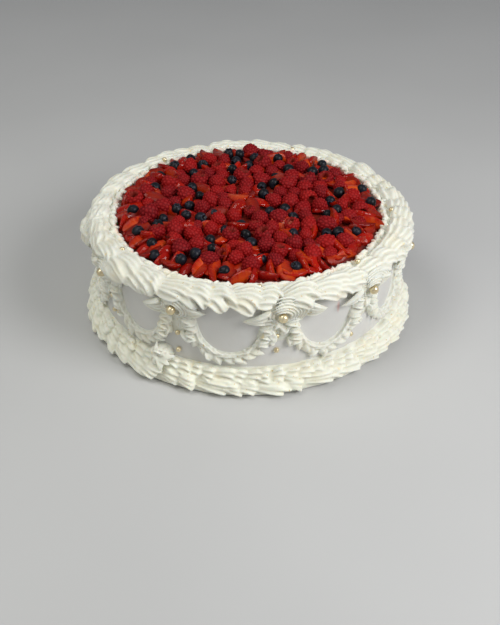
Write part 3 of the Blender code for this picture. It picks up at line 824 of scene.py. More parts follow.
def tooth(pile, middle, root, heading, length, width, draw, lift=0.0):
    """A pointed leaf of cream on a swag, with one sharp ridge and a tip that stands off."""
    heading = heading / np.linalg.norm(heading)
    across = np.array([-heading[1], heading[0]])
    t = np.linspace(0, 1, 12)
    line = root + heading * (length * t)[:, None]
    line = line + across * (draw.uniform(-0.2, 0.2) * length * t**2)[:, None]
    out = 0.0008 + lift + 0.0012 * np.sin(math.pi * t) + draw.uniform(0.0008, 0.0026) * t**2
    sections = kite(t, KITE_RUN, draw.choice((-1, 1)) * width, draw.uniform(0.0030, 0.0042))
    skin(pile, *on_side(middle, *line.T, out), sections, tone=draw.random())


def bedding(pile, middle, route, width, height):
    """A thin strip of cream along a line on the side, that fades into the icing at its edges."""
    turn = full_turn(12)
    section = np.stack([width * np.cos(turn), height * np.sin(turn)], axis=-1)
    sections = np.broadcast_to(section, (len(route), 12, 2))
    skin(pile, *on_side(middle, *np.transpose(route), -0.0003), sections)


def arm(pile, middle, side, span, draw):
    """The end of a swag that climbs to its rosette: a ribbon of cream folded to and fro."""
    count = 8
    top, foot = 0.0378 + 0.0352 * (span - 1), 0.0328 * span
    t = np.linspace(-1, 1, 11)
    for i in range(count):
        share = i / (count - 1)
        half = 0.0062 * draw.uniform(0.85, 1.15) * (1 - 0.25 * share)
        tilt = 0.30 * side * (-1) ** i + draw.uniform(-0.12, 0.12)
        across = side * (top + (foot - top) * share) + half * t + draw.uniform(-0.001, 0.001)
        height = 0.0850 - 0.0300 * share + half * tilt * t - 0.0012 * t**2
        out = 0.0014 + draw.uniform(0.0018, 0.0036) * (1 - t**2)
        fold(
            pile, *on_side(middle, across, height, out), 0.0036, 0.0046, run=BAND_RUN, body=0.002,
            tone=draw.random(),
        )


def make_swag(index, cream):
    pile = Pile("tone", uneven=0.0004)
    draw = random.Random(100 + index)
    middle, span = swag_place(index)
    route = [swag_route(share, span)[0] for share in np.linspace(0, 1, 40)]
    bedding(pile, middle, route, 0.0066, 0.0017)
    for side in (-1, 1):
        top, foot = (side * (0.0378 + 0.0352 * (span - 1)), 0.0860), (side * 0.0330 * span, 0.0540)
        bedding(pile, middle, np.linspace(top, foot, 9), 0.0072, 0.0020)
    count = round(17 * span)
    for i in range(count):
        place, along, out = swag_route((i + 0.5) / count, span)
        heading = along * 0.94 + out * draw.uniform(-0.30, 0.05)
        dab(
            pile, middle, place - out * 0.0030, heading, draw.uniform(0.0100, 0.0125),
            draw.uniform(0.0030, 0.0037), 0.0006, draw, 0.5, around=20, rise=0.0022, run=DROP_RUN,
        )
    count = round(13 * span)
    for i in range(count):
        place, along, out = swag_route((i + 0.5) / count, span)
        place = place - out * 0.0016 - along * 0.0040
        heading = out * 0.70 + along * draw.uniform(0.55, 1.1)
        length, width = draw.uniform(0.0135, 0.0165), draw.uniform(0.0040, 0.0050)
        tooth(pile, middle, place, heading, length, width, draw)
        if draw.random() < 0.35:
            heading = out * draw.uniform(0.2, 0.8) + along * draw.choice((-1.0, 1.0))
            length = draw.uniform(0.009, 0.012)
            tooth(pile, middle, place + out * 0.003, heading, length, 0.0032, draw, 0.0012)
    for side in (-1, 1):
        arm(pile, middle, side, span, draw)
    return melted(pile.piece(f"swag_piping_{index + 1:02d}", cream), 0.0007, 1, 13000)


def rosette_depth(height):
    """How far the cream of a rosette stands out at a height: it flows down from the top border."""
    return np.interp(
        height, (0.072, 0.080, 0.086, 0.091, 0.096, 0.101, 0.105),
        (0.0020, 0.0034, 0.0056, 0.0082, 0.0106, 0.0110, 0.0096),
    )


MOUND_BACK = -0.0008


def mound(pile, middle, place, reach, depth_at):
    """The body of cream behind a rosette's folds."""
    rings, around = 7, 28
    front, back = (np.arange(rings) + 1) / rings, np.arange(rings, 0, -1) / rings * 0.98
    share, turn = np.concatenate([front, back])[:, None], full_turn(around)
    across = place[0] + reach[0] * share * np.cos(turn)
    height = place[1] + reach[1] * share * np.sin(turn)
    depth = (depth_at(height) - 0.0004) * (1 - share**5)
    depth[rings:] = MOUND_BACK
    points = side_points(middle, across, height, depth).reshape(-1, 3)
    ends = side_points(middle, *place, np.array([float(depth_at(place[1])) - 0.0004, MOUND_BACK]))
    pile.add(np.concatenate([points, ends]), *ring_faces(2 * rings, around))


def leaf(pile, middle, start, tip, width, draw, bold, lift=0.0):
    """A pointed leaf of cream beside a rosette: folds that start side by side and meet at its tip."""
    start, tip = np.array(start, float), np.array(tip, float)
    t = np.linspace(0, 1, 14)
    for rise in (0.0088, 0.0036, -0.0016, -0.0066):
        root = start + np.array([draw.uniform(-0.0015, 0.0015), rise])
        end = tip + np.array([draw.uniform(-0.0006, 0.0022), -0.05 * rise])
        line = root[None] + (end - root)[None] * t[:, None]
        depth = rosette_depth(line[:, 1]) * (1 + (bold - 1) * (1 - t))
        out = depth - 0.0014 + 0.0026 * np.sin(math.pi * t)
        out = out + (lift + draw.uniform(-0.0004, 0.0010)) * t**1.5
        sections = kite(t, LEAF_RUN, draw.choice((-1, 1)) * width, 1.15 * width)
        skin(pile, *on_side(middle, *line.T, out), sections, tone=draw.random())


RIGHT_LEAF = ((0.0095, 0.0900), (0.0280, 0.0935))
OTHER_LEAVES = {0: ((0.0230, 0.0905), (0.0430, 0.0880)), 9: ((0.0110, 0.0885), (0.0300, 0.0890))}
LEFT_LEAF = ((-0.0115, 0.0858), (-0.0350, 0.0835))

# The ridged ball of the rosette at the far left: shares of its height, from top to foot, with the
# radius and half width of its core, and the radius and height of its ribs
CORE_SHARES = (0, 0.16, 0.34, 0.6, 0.84, 1)
CORE_RADII = (0.1540, 0.1555, 0.1575, 0.1612, 0.1600, 0.1570)
CORE_SIZES = (0.0040, 0.0085, 0.0105, 0.0125, 0.0090, 0.0010)
RIB_SHARES = (0, 0.2, 0.4, 0.6, 0.8, 1)
RIB_RADII = (0.1480, 0.1570, 0.1622, 0.1668, 0.1690, 0.1600)
RIB_HEIGHTS = (0.1120, 0.1070, 0.1000, 0.0920, 0.0835, 0.0730)
RIB_LEANS = (
    (-11.0, 0.80), (-8.0, 0.90), (-5.0, 0.96), (5.0, 1.0), (8.0, 0.97), (11.0, 0.90), (14.0, 0.80)
)


def ridged_ball(pile, middle, t, draw):
    """Cream heaped up into a ball with upright ribs."""
    radius, height = (np.interp(t, RIB_SHARES, values) for values in (RIB_RADII, RIB_HEIGHTS))
    for lean, share in RIB_LEANS:
        angle = middle + math.radians(lean) * (1 - 0.5 * t)
        line = round_points(angle, RIB_RADII[0] + share * (radius - RIB_RADII[0]), height)
        up = outward(angle, 1.0, 0.3)
        fold(pile, line, up, 0.0054, 0.0040, run=BAND_RUN, tone=draw.random())
    for across, height in ((0.0088, 0.0870), (0.0085, 0.0970)):
        ball(pile, side_points(middle, across, height, 0.0085), 0.0080)
    way = np.arange(14) / 13
    radius, size = (np.interp(way, CORE_SHARES, values) for values in (CORE_RADII, CORE_SIZES))
    path = round_points(middle + 0.02 * way, radius, 0.1120 - 0.0430 * way)
    stroke(pile, path, outward(np.full(14, middle), 1.0, 0.0), size, 9, 0.22, 54, 0.5)


def make_rosette(index, cream):
    pile = Pile("tone", uneven=0.0003)
    draw = random.Random(200 + index)
    middle, bold = rosette_angle(index), BOLD_ROSETTES.get(index, 1.0)
    degrees = (math.degrees(middle) + 180) % 360 - 180
    border_reach, low = (np.interp(degrees, *np.transpose(TOP_SWELL)[[0, k]]) for k in (1, 2))

    def depth_at(height):
        """A bold rosette sinks back to the border at its top."""
        share = np.interp(height, (0.094, 0.104), (bold, min(bold, border_reach)))
        return rosette_depth(height) * share

    def round_fold(across, climb, depth, *sizes, mirror=1):
        """A fold round the pearl, with its depth over the rosette's own."""
        height = ROSETTE_HEIGHT + climb
        path = on_side(middle, across, height, depth_at(height) + depth)
        fold(pile, *path, *sizes, mirror=mirror, tone=draw.random())

    mound(pile, middle, (0.0010, 0.0895), (0.0190, 0.0160 * low), depth_at)
    mound(pile, middle, (0.0, 0.0700), (0.0150, 0.0160), rosette_depth)
    t = np.linspace(0, 1, 26)
    for k in range(6):
        reach = 0.0068 + 0.0023 * k + draw.uniform(-0.0003, 0.0003)
        first = math.radians(150 - 7 * k)
        last = math.radians(-100 + 11 * k - 16 * draw.random())
        turn = first + (last - first) * t
        wide = reach * (1 + 0.18 * np.clip(np.cos(turn - 0.3), 0, 1))
        climb = wide * np.sin(turn)
        climb = np.where(climb > 0, low * climb, climb)
        round_fold(wide * np.cos(turn), climb, 0.0016 - 0.0006 * k, 0.0028, 0.0034, mirror=-1)
    if bold > 1:
        ridged_ball(pile, middle, t, draw)
    for k in range(3):
        reach = 0.0078 + 0.0028 * k
        turn = math.radians(158 + 5 * k) + math.radians(96) * t[::2]
        climb = reach * np.sin(turn)
        round_fold(reach * np.cos(turn), climb, 0.0008 - 0.0006 * k, 0.0032, 0.0032)
    leaf(pile, middle, *OTHER_LEAVES.get(index, RIGHT_LEAF), 0.0032, draw, bold, lift=0.0010)
    leaf(pile, middle, *LEFT_LEAF, 0.0036, draw, bold, lift=0.0030)
    for i in range(10):
        drop = (i + 0.5) / 10
        aside = draw.uniform(0.0, 0.0095) if drop < 0.4 else draw.uniform(0.0066, 0.0090)
        place = (draw.choice((-1, 1)) * aside, 0.0765 - 0.0230 * drop)
        heading = (draw.uniform(-0.9, 0.9), draw.uniform(-1.0, -0.2))
        length, size = draw.uniform(0.010, 0.014), draw.uniform(0.0034, 0.0046)
        dab(pile, middle, place, heading, length, size, 0.0014, draw, 0.4)
    return melted(pile.piece(f"rosette_piping_{index + 1:02d}", cream), 0.0007, 1, 14000)


# Each pointed petal's heading in degrees, its length and its half width
FLOWER_POINTS = (
    (-78, 0.0140, 0.0050), (-38, 0.0112, 0.0046), (6, 0.0122, 0.0044), (58, 0.0085, 0.0042),
    (116, 0.0140, 0.0030), (156, 0.0095, 0.0044), (204, 0.0105, 0.0046), (242, 0.0115, 0.0046),
)


def make_flower(number, index, cream):
    """A small crumpled flower of cream: pointed petals under rings of folds."""
    pile = Pile("tone", uneven=0.0007)
    draw = random.Random(300 + number)
    middle = rosette_angle(index)
    t = np.linspace(0, 1, 12)
    for heading, length, width in FLOWER_POINTS:
        heading = math.radians(heading)
        along = np.array([math.cos(heading), math.sin(heading)])
        line = np.array([FLOWER_ASIDE, FLOWER_HEIGHT]) + (0.0015 + length * t)[:, None] * along
        over_foot = 0.0095 * max(0.0, -along[1]) * t
        path = on_side(middle, *line.T, 0.0115 - 0.0060 * t**2 + over_foot)
        skin(pile, *path, kite(t, LEAF_RUN, width, 0.8 * width))
    for ring, petals, depth in ((0.0076, 7, 0.0070), (0.0044, 5, 0.0108)):
        for i in range(petals):
            first = 2 * math.pi * (i + draw.uniform(-0.3, 0.3)) / petals
            turn = first + draw.uniform(0.9, 1.5) * 2 * math.pi / petals * t
            reach = ring + draw.uniform(-0.0006, 0.0016) * np.sin(math.pi * t)
            reach = reach + draw.uniform(-0.0008, 0.0008)
            across = FLOWER_ASIDE + reach * np.cos(turn)
            height = FLOWER_HEIGHT + reach * np.sin(turn)
            out = depth + draw.uniform(-0.0012, 0.0016)
            out = out + 0.0012 * np.sin(math.pi * t * draw.uniform(1, 3))
            fold(
                pile, *on_side(middle, across, height, out), 0.0030, 0.0042,
                mirror=draw.choice((-1, 1)), body=0.004, tone=draw.random(),
            )
    for size, depth in ((0.0090, 0.0020), (0.0072, 0.0048)):
        ball(pile, side_points(middle, FLOWER_ASIDE, FLOWER_HEIGHT, depth), size)
    return melted(pile.piece(f"cream_flower_piping_{number}", cream), 0.0006, 1, 7000)


# Smooth icing and pearls

def make_iced_cake(icing):
    """The smooth cake with the slight unevenness that a spatula leaves."""
    pile = Pile()
    around, levels, edge = 288, 30, 0.003
    turn = full_turn(around)
    profile = [(SIDE_RADIUS, h) for h in np.linspace(0.0, TOP_HEIGHT - edge, levels)]
    for a in np.linspace(0.25, 1.0, 4) * math.pi / 2:
        profile.append(
            (SIDE_RADIUS - edge + edge * math.cos(a), TOP_HEIGHT - edge + edge * math.sin(a))
        )
    profile.append((SIDE_RADIUS * 0.5, TOP_HEIGHT))
    profile = np.array(profile)
    height = profile[:, 1][:, None]
    wobble = 0.00030 * np.sin(7 * turn + 31 * height) + 0.00022 * np.sin(13 * turn - 90 * height)
    wobble = wobble * np.clip(height / 0.01, 0, 1) * (height < TOP_HEIGHT - edge)
    points = round_points(turn, profile[:, 0][:, None] + wobble, height).reshape(-1, 3)
    points = np.concatenate([points, [[0, 0, 0.0], [0, 0, TOP_HEIGHT]]])
    pile.add(points, *ring_faces(len(profile), around))
    return pile.piece("iced_cake", icing, math.radians(50))


def ball(pile, centre, radius, segments=20, rings=12):
    """A sugar pearl, slightly out of round."""
    polar = math.pi * (np.arange(rings - 1) + 1)[:, None] / rings
    turn, ring = full_turn(segments), np.sin(polar)
    level = np.broadcast_to(np.cos(polar), (rings - 1, segments))
    shape = np.stack([ring * np.cos(turn), ring * np.sin(turn), level], axis=-1).reshape(-1, 3)
    shape = np.concatenate([shape, [[0, 0, 1.0], [0, 0, -1.0]]])
    shape *= 1 + 0.012 * np.sin(4 * shape[:, :1] + 3 * shape[:, 1:2])
    pile.add(shape * radius + centre, *ring_faces(rings - 1, segments))


# Fruit

def round_place(radius, angle, height):
    return Vector((radius * math.sin(angle), -radius * math.cos(angle), height))


def spread_apart(berries):
    """Pushes berries that overlap, seen from above, apart until they lie side by side."""
    for _ in range(SETTLING_ROUNDS):
        for i, one in enumerate(berries):
            for other in berries[i + 1:]:
                dx, dy = other["x"] - one["x"], other["y"] - one["y"]
                apart = math.sqrt(dx * dx + dy * dy) + 1e-9
                short = one["size"] + other["size"] - apart
                if short > 0:
                    push = 0.5 * short / apart
                    one["x"] -= dx * push
                    one["y"] -= dy * push
                    other["x"] += dx * push
                    other["y"] += dy * push
        for berry in berries:
            out = math.sqrt(berry["x"] ** 2 + berry["y"] ** 2)
            if out > berry["reach"]:
                berry["x"] *= berry["reach"] / out
                berry["y"] *= berry["reach"] / out


def bed_height(x, y):
    """Height of the bed of strawberries under the berries, a little domed."""
    return BED_HEIGHT + BED_DOME * (1 - (x * x + y * y) / HEAP_RADIUS**2)


def strawberry_piece(place, size, tilt, roll, turn):
    return {
        "kind": "strawberry", "x": place.x, "y": place.y, "z": place.z,
        "size": size, "tilt": tilt, "roll": roll, "turn": turn,
    }


def berry_layout():
    """Every piece of fruit, as a dictionary of its kind, place, size, tilt and turn."""
    draw = random.Random(BERRY_SEED)
    pieces = []
    for ring, count in STRAWBERRY_RINGS:
        outer = ring == STRAWBERRY_RINGS[0][0]
        for i in range(count):
            angle = 2 * math.pi * (i + draw.uniform(-0.22, 0.22)) / count
            radius = ring + (draw.uniform(-0.002, 0.0) if outer else draw.uniform(-0.01, 0.01))
            turn = angle + (draw.uniform(-0.35, 0.35) if outer else draw.uniform(-1.6, 1.6))
            lift = draw.uniform(0.0120, 0.0140) if outer else draw.uniform(0.0115, 0.0145)
            place = round_place(radius, angle, TOP_HEIGHT + lift)
            size, tilt = draw.uniform(0.86, 1.02), draw.uniform(0.0, 0.3)
            pieces.append(strawberry_piece(place, size, tilt, draw.uniform(-0.5, 0.5), turn))
    for i in range(CENTRE_SLICES):
        angle = 2 * math.pi * (i + 0.3) / CENTRE_SLICES
        place = round_place(0.0130, angle, TOP_HEIGHT + 0.0190)
        pieces.append(strawberry_piece(place, 0.96, 0.18, 0.35 - 0.2 * i, angle))
    kinds = ["raspberry"] * RASPBERRIES + ["blueberry"] * BLUEBERRIES
    draw.shuffle(kinds)
    top_layer = []
    for i, kind in enumerate(kinds):
        angle = i * GOLDEN_ANGLE
        away = math.sqrt((i + 5.0) / (len(kinds) + 5.0))
        blue = kind == "blueberry"
        reach = BLUEBERRY_REACH if blue else TOP_LAYER_REACH
        place = round_place(away * reach, angle, 0.0)
        size = BLUEBERRY_RADIUS * draw.uniform(0.86, 1.06)
        if not blue:
            size = RASPBERRY_RADIUS * draw.uniform(0.80, 1.14)
        top_layer.append({
            "kind": kind,
            "x": place.x + draw.uniform(-0.003, 0.003),
            "y": place.y + draw.uniform(-0.003, 0.003),
            "size": size,
            "reach": reach,
            "tilt": draw.choice(TILTS) + draw.uniform(-0.2, 0.2),
            "roll": 0.0,
            "turn": draw.uniform(0, 2 * math.pi),
            "rise": draw.uniform(-0.0016, 0.0020),
        })
    spread_apart(top_layer)
    for berry in top_layer:
        lift = 1.22 if berry["kind"] == "blueberry" else 0.85
        bed = bed_height(berry["x"], berry["y"])
        berry["z"] = bed + lift * berry["size"] + berry["rise"]
    return pieces + top_layer


def fruit_matrix(piece):
    place = Matrix.Translation((piece["x"], piece["y"], piece["z"]))
    turn = Euler((piece["roll"], piece["tilt"], piece["turn"] - math.pi / 2))
    return place @ turn.to_matrix().to_4x4()


def moved(matrix, points):
    grid = np.array(matrix)
    return points @ grid[:3, :3].T + grid[:3, 3]


def fine_ball(subdivisions):
    """Points on a unit ball, evenly spread, with their triangles."""
    work = bmesh.new()
    bmesh.ops.create_icosphere(work, subdivisions=subdivisions, radius=1.0)
    points = np.array([v.co for v in work.verts])
    triangles = np.array([[v.index for v in f.verts] for f in work.faces])
    work.free()
    return unit(points), triangles


def cells_on_ball(count, spin):
    """A ball's even points, the corners of their cells, and each cell's corners in order."""
    order = np.arange(count)
    heights = 1 - (2 * order + 1) / count
    rings = np.sqrt(1 - heights**2)
    turn = order * GOLDEN_ANGLE + spin
    centres = np.stack([rings * np.cos(turn), rings * np.sin(turn), heights], axis=-1)
    work = bmesh.new()
    for centre in centres:
        work.verts.new(centre)
    bmesh.ops.convex_hull(work, input=work.verts[:])
    work.verts.index_update()
    places = np.array([v.co for v in work.verts])
    corners = unit(np.array([f.calc_center_median() for f in work.faces]))
    work.faces.index_update()
    loops = []
    for vert in work.verts:
        normal = Vector(vert.co)
        one = normal.orthogonal().normalized()
        other = normal.cross(one)
        faces = [face.index for face in vert.link_faces]
        ways = {f: Vector(corners[f]) for f in faces}
        loops.append(sorted(faces, key=lambda f: math.atan2(ways[f].dot(other), ways[f].dot(one))))
    work.free()
    return unit(places), corners, loops


DRUPELETS = 78
HOLLOW_RIM = 0.60


def raspberry_shape(seed):
    """A hollow cone of small round drupelets, of radius 1, with its tip at +Z."""
    draw = random.Random(seed)
    centres, corners, loops = cells_on_ball(DRUPELETS, draw.uniform(0, 6))
    # The crest marks, low at the cell corners and 1 at each drupelet's top, say where the material
    # paints shade and sheen.
    points, crest, triangles = [*corners * 0.945], [0.25] * len(corners), []
    for centre, loop in zip(centres, loops):
        swell = draw.uniform(0.985, 1.035)
        first = len(points)
        points += [unit(0.50 * centre + 0.50 * corners[f]) * swell for f in loop]
        points.append(centre * 1.05 * swell)
        crest += [0.75] * len(loop) + [1.0]
        top, n = first + len(loop), len(loop)
        for i, corner in enumerate(loop):
            following = (i + 1) % n
            here, there = first + i, first + following
            triangles += [(top, here, there), (here, corner, there), (corner, loop[following], there)]
    points, crest = np.array(points), np.array(crest)
    way = points / np.linalg.norm(points, axis=1)[:, None]
    z = way[:, 2]
    polar = np.arccos(np.clip(-z, -1, 1))
    inside = polar < HOLLOW_RIM
    taper = 1.0 - 0.16 * (z + 0.1) - 0.07 * z**2
    tall = draw.uniform(1.0, 1.22)
    shaped = points.copy()
    shaped[:, :2] *= taper[:, None]
    shaped[:, 2] *= tall
    q = np.clip(polar / HOLLOW_RIM, 0, 1)[:, None]
    side = way[:, :2] / np.maximum(np.linalg.norm(way[:, :2], axis=1, keepdims=True), 1e-6)
    wide, deep = 0.44 * q**0.5 - 0.02 * crest[:, None], tall * (-0.80 + 0.95 * (1 - q**2))
    shaped[inside] = np.concatenate([side * wide, deep], axis=1)[inside]
    shaped[:, 0] *= draw.uniform(0.92, 1.04)
    return shaped, np.where(inside, 0.4 * crest, crest), inside * 1.0, np.array(triangles)


def drawn_to_crown(directions):
    """Moves a ball's points towards +Z, where a blueberry has its fine crown."""
    polar = np.arccos(np.clip(directions[:, 2], -1, 1))
    polar = math.pi * (polar / math.pi) ** 1.5
    side = unit(directions[:, :2]) * np.sin(polar)[:, None]
    return np.concatenate([side, np.cos(polar)[:, None]], axis=1)


def blueberry_shape(directions, seed):
    """A slightly flat ball of radius 1 with the star-shaped crown of its flower at +Z."""
    draw = random.Random(seed)
    polar = np.arccos(np.clip(directions[:, 2], -1, 1))
    spin = np.arctan2(directions[:, 1], directions[:, 0])
    wide = draw.uniform(0.40, 0.50)
    pit = np.clip(1 - (polar / wide) ** 2, 0, 1)
    lobes = 0.55 + 0.45 * np.cos(5 * spin)
    rim = np.exp(-(((polar - wide - 0.04) / 0.10) ** 2)) * lobes
    size = 1.0 - 0.26 * pit + 0.15 * rim
    points = directions * size[:, None]
    points[:, 2] *= draw.uniform(0.84, 0.94)
    return points, rim, np.clip(pit * 1.5, 0, 1)


def strawberry_wedge(draw, opening):
    """A piece cut along a strawberry: its tip is at +X, and its two cut faces meet at the axis."""
    rings, flats, arcs = 13, 4, 8
    along = (np.arange(rings) + 0.5) / rings
    along = np.concatenate([[0.012], along[1:-1], [0.985]])
    girth = (1 - along**2.5) ** 0.62 * (1 - 0.55 * (1 - along) ** 6)
    half = opening / 2
    shares = np.linspace(0, 1, flats + 1)
    arc = np.linspace(-half, half, arcs + 2)
    outline = [(share, -half) for share in shares] + [(1.0, a) for a in arc[1:-1]]
    outline += [(share, half) for share in shares[:0:-1]]
    reach = np.array([share for share, _ in outline])
    angle = np.array([a for _, a in outline]) - math.pi / 2
    flesh = np.array([1.0] * flats + [0.0] * (arcs + 2) + [1.0] * (flats - 1))
    sunk = -0.03 * np.sin(math.pi * reach)
    y = np.cos(angle)[None] * (reach - sunk)[None] * girth[:, None]
    z = np.sin(angle)[None] * (reach - sunk)[None] * girth[:, None] + 0.5
    x = np.broadcast_to((along * 2 - 1)[:, None], y.shape)
    y, z = (0.4 * v + 0.3 * (np.roll(v, 1, axis=1) + np.roll(v, -1, axis=1)) for v in (y, z))
    bend = draw.uniform(-0.12, 0.12)
    points = np.stack([x, y + bend * x**2, z], axis=-1)
    points = points * (1 + 0.02 * np.sin(5 * points[..., :1] + draw.uniform(0, 6)))
    middle = points.mean(axis=1)
    ends = np.stack([middle[0] - [0.03, 0, 0], middle[-1] + [0.02, 0, 0]])
    quads, caps = ring_faces(rings, len(outline))
    marks = {
        "flesh": np.concatenate([np.tile(flesh, rings), [0.6, 0.0]]),
        "core": np.concatenate([np.tile(reach, rings), [0.6, 1.0]]),
        "along": np.concatenate([np.repeat(along, len(outline)), [0.0, 1.0]]),
    }
    return np.concatenate([points.reshape(-1, 3), ends]), quads, caps, marks


RASPBERRY_KINDS = 9
BLUEBERRY_KINDS = 5
FILLERS = 66
FILLER_REACH = 0.1130
EDGE_FILLERS = 58
EDGE_RADIUS = 0.1258
WEDGE_ROLLS = (0.3, 3.0, 2.7, 0.0, 1.4, -1.4, 1.9, -1.1, -0.9)
WEDGE_SIZE = np.array([STRAWBERRY_LENGTH / 2, 0.0112, 0.0106])


def make_fruit():
    raspberries = Pile("crest", "hollow", "tone")
    blueberries = Pile("crest", "hollow", "tone")
    strawberries = Pile("flesh", "core", "along", "tone")
    directions, blue_triangles = fine_ball(4)
    directions = drawn_to_crown(directions)
    rasp_kinds = [raspberry_shape(400 + i) for i in range(RASPBERRY_KINDS)]
    blue_kinds = [blueberry_shape(directions, 500 + i) for i in range(BLUEBERRY_KINDS)]
    draw = random.Random(31)
    layout = berry_layout()
    for i in range(FILLERS):
        angle = i * GOLDEN_ANGLE + 1.0
        radius = FILLER_REACH * math.sqrt((i + 0.5) / FILLERS)
        place = round_place(radius, angle, bed_height(radius, 0) + draw.uniform(0.0028, 0.0065))
        layout.append(strawberry_piece(
            place, draw.uniform(0.85, 1.05), draw.uniform(-0.25, 0.25), draw.uniform(-0.4, 0.4),
            draw.uniform(0, 6.28),
        ))
    for i in range(EDGE_FILLERS):
        angle = 2 * math.pi * (i + 0.5 + draw.uniform(-0.2, 0.2)) / EDGE_FILLERS
        place = round_place(EDGE_RADIUS, angle, TOP_HEIGHT + draw.uniform(0.0105, 0.0125))
        across = draw.random() < 0.45
        layout.append(strawberry_piece(
            place, draw.uniform(0.8, 0.98), draw.uniform(-0.1, 0.2), draw.uniform(-0.4, 0.4),
            angle + (draw.choice((-1.3, 1.3)) if across else draw.uniform(-0.3, 0.3)),
        ))
    for piece in layout:
        matrix = fruit_matrix(piece)
        tone = draw.random()
        if piece["kind"] == "raspberry":
            points, crest, hollow, triangles = rasp_kinds[draw.randrange(len(rasp_kinds))]
            spin = Matrix.Rotation(draw.uniform(0, 6.28), 4, "Z")
            points = moved(matrix @ spin, points * piece["size"])
            raspberries.add(points, [], triangles, crest=crest, hollow=hollow, tone=tone)
        elif piece["kind"] == "blueberry":
            points, crest, hollow = blue_kinds[draw.randrange(len(blue_kinds))]
            points = moved(matrix, points * piece["size"])
            blueberries.add(points, [], blue_triangles, crest=crest, hollow=hollow, tone=tone)
        else:
            opening = math.radians(draw.uniform(95, 165))
            points, quads, caps, marks = strawberry_wedge(draw, opening)
            roll = Matrix.Rotation(draw.choice(WEDGE_ROLLS), 4, "X")
            points = moved(matrix @ roll, points * (WEDGE_SIZE * piece["size"]))
            strawberries.add(points, quads, caps, tone=tone, **marks)
    return raspberries, blueberries, strawberries


def make_bed(material):
    """The stained cream that shows in the gaps of the heap, its dark red partly juice stain and
    partly painted shade of the gaps.
    """
    pile = Pile()
    rings, around, underside = 22, 96, TOP_HEIGHT + 0.0003
    share = (np.arange(rings) + 1)[:, None] / rings
    radius, turn = 0.1334 * share, full_turn(around)
    height = 0.1060 + 0.0030 * (1 - share**2) - 0.0050 * np.clip((share - 0.93) / 0.07, 0, 1)
    bumps = 0.0007 * np.sin(9 * turn + 60 * share) * np.sin(40 * share)
    upper = round_points(turn, radius, height + bumps)
    lower = round_points(turn, radius[::-1], underside)
    points = np.concatenate([*upper, *lower, [[0, 0, 0.109], [0, 0, underside]]])
    pile.add(points, *ring_faces(2 * rings, around))
    return pile.piece("berry_bed", material)


def place_piece(piece, slot, *nodes):
    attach(piece, "root")
    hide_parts(*nodes)


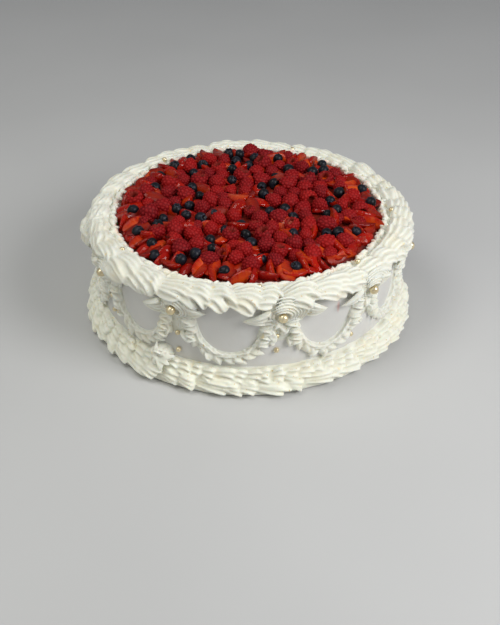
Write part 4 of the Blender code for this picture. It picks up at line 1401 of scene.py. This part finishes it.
def dress_cake():
    cream, icing, gold = cream_material(), icing_material(), pearl_material()
    place_piece(make_top_border(cream), "piped_cream", "top_border")
    place_piece(make_inner_ruffle(cream), "piped_cream", "inner_ruffle")
    place_piece(make_foot_border(cream), "piped_cream", "foot_border")
    beads, rim_beads = Pile(), Pile()
    for index in range(SWAG_COUNT):
        angle = rosette_angle(index)
        place_piece(make_swag(index, cream), "piped_cream", f"swag_{index + 1:02d}")
        place_piece(make_rosette(index, cream), "piped_cream", f"rosette_{index + 1:02d}")
        pearl = Pile()
        depth = DIMPLE_DEPTH * BOLD_ROSETTES.get(index, 1.0) + GAP + PEARL_RADIUS
        ball(pearl, side_points(angle, 0.0, ROSETTE_HEIGHT, depth), PEARL_RADIUS, 32, 20)
        name = f"pearl_{index + 1:02d}"
        place_piece(pearl.piece(f"sugar_{name}", gold), "gold_pearl", name)
        for across, height in OTHER_BEADS.get(index, EVEN_BEADS):
            ball(beads, side_points(angle, across, height, BEAD_RADIUS * BEAD_SINK), BEAD_RADIUS)
    for degrees in RIM_BEAD_ANGLES:
        angle = math.radians(degrees)
        place = swollen(TOP_SWELL, TOP_BORDER_HEART, angle, RIM_BEAD_RADIUS, RIM_BEAD_HEIGHT)
        ball(rim_beads, round_points(angle, *place), BEAD_RADIUS)
    for number, index in enumerate(FLOWER_ROSETTES):
        flower = make_flower(number + 1, index, cream)
        place_piece(flower, "piped_cream", f"cream_flower_{number + 1}")
    place_piece(make_iced_cake(icing), "smooth_icing", "frosted_cake")
    place_piece(beads.piece("sugar_beads", gold), "gold_pearl", "frosted_cake")
    place_piece(rim_beads.piece("sugar_rim_beads", gold), "gold_pearl", "top_border")
    raspberries, blueberries, strawberries = make_fruit()
    place_piece(raspberries.piece("raspberries", raspberry_material()), "raspberry", "berry_heap")
    place_piece(blueberries.piece("blueberries", blueberry_material()), "blueberry", "berry_heap")
    cut = strawberries.piece("strawberry_pieces", strawberry_material(), math.radians(60))
    place_piece(cut, "strawberry", "berry_heap")
    place_piece(make_bed(bed_material()), "berries", "berry_heap")


# Floor, light and camera

def make_floor():
    look = Look("pale_floor", roughness=0.8)
    colour = look.ramp(look.noise(3, 2), (0.3, 0.52), (0.7, 0.55))
    look.join(look.shader.inputs["Base Color"], colour)
    mesh = bpy.data.meshes.new("floor")
    corners = [(-12, -12, 0), (12, -12, 0), (12, 12, 0), (-12, 12, 0)]
    mesh.from_pydata(corners, [], [(0, 1, 2, 3)])
    mesh.materials.append(look.material)
    floor = add_object("floor", mesh)
    floor.location.z = -0.0005


def add_light(name, place, target, size, power, colour=(1.0, 1.0, 1.0)):
    lamp = bpy.data.lights.new(name, "AREA")
    lamp.shape = "DISK"
    lamp.size = size
    lamp.energy = power
    lamp.color = colour
    made = add_object(name, lamp)
    made.location = place
    heading = Vector(target) - Vector(place)
    made.rotation_euler = heading.to_track_quat("-Z", "Y").to_euler()


def make_light():
    world = bpy.data.worlds.new("soft_studio")
    bpy.context.scene.world = world
    world.use_nodes = True
    background = world.node_tree.nodes["Background"]
    background.inputs["Color"].default_value = (0.95, 0.97, 1.0, 1.0)
    background.inputs["Strength"].default_value = 0.26
    add_light("key", (0.98, -0.70, 0.92), (0, 0, 0.06), 0.8, 14.8)
    add_light("fill", (-1.05, -0.70, 1.00), (0, 0, 0.08), 1.2, 3.3, (1.0, 1.0, 0.85))
    add_light("top", (-0.50, -0.20, 1.35), (0, 0, 0.08), 0.7, 5.8, (1.0, 1.0, 0.96))
    view = bpy.context.scene.view_settings
    view.view_transform = "Standard"
    view.look = "None"


CAMERA_PITCH = 35.81


def make_camera():
    lens = bpy.data.cameras.new("camera")
    lens.sensor_width = 36.0
    lens.lens = 57.6
    camera = add_object("camera", lens)
    camera.location = (0.0017, -0.890, 0.620)
    camera.rotation_euler = (math.radians(90 - CAMERA_PITCH), 0, 0)
    bpy.context.scene.camera = camera


make_camera()
make_light()
make_floor()
dress_cake()
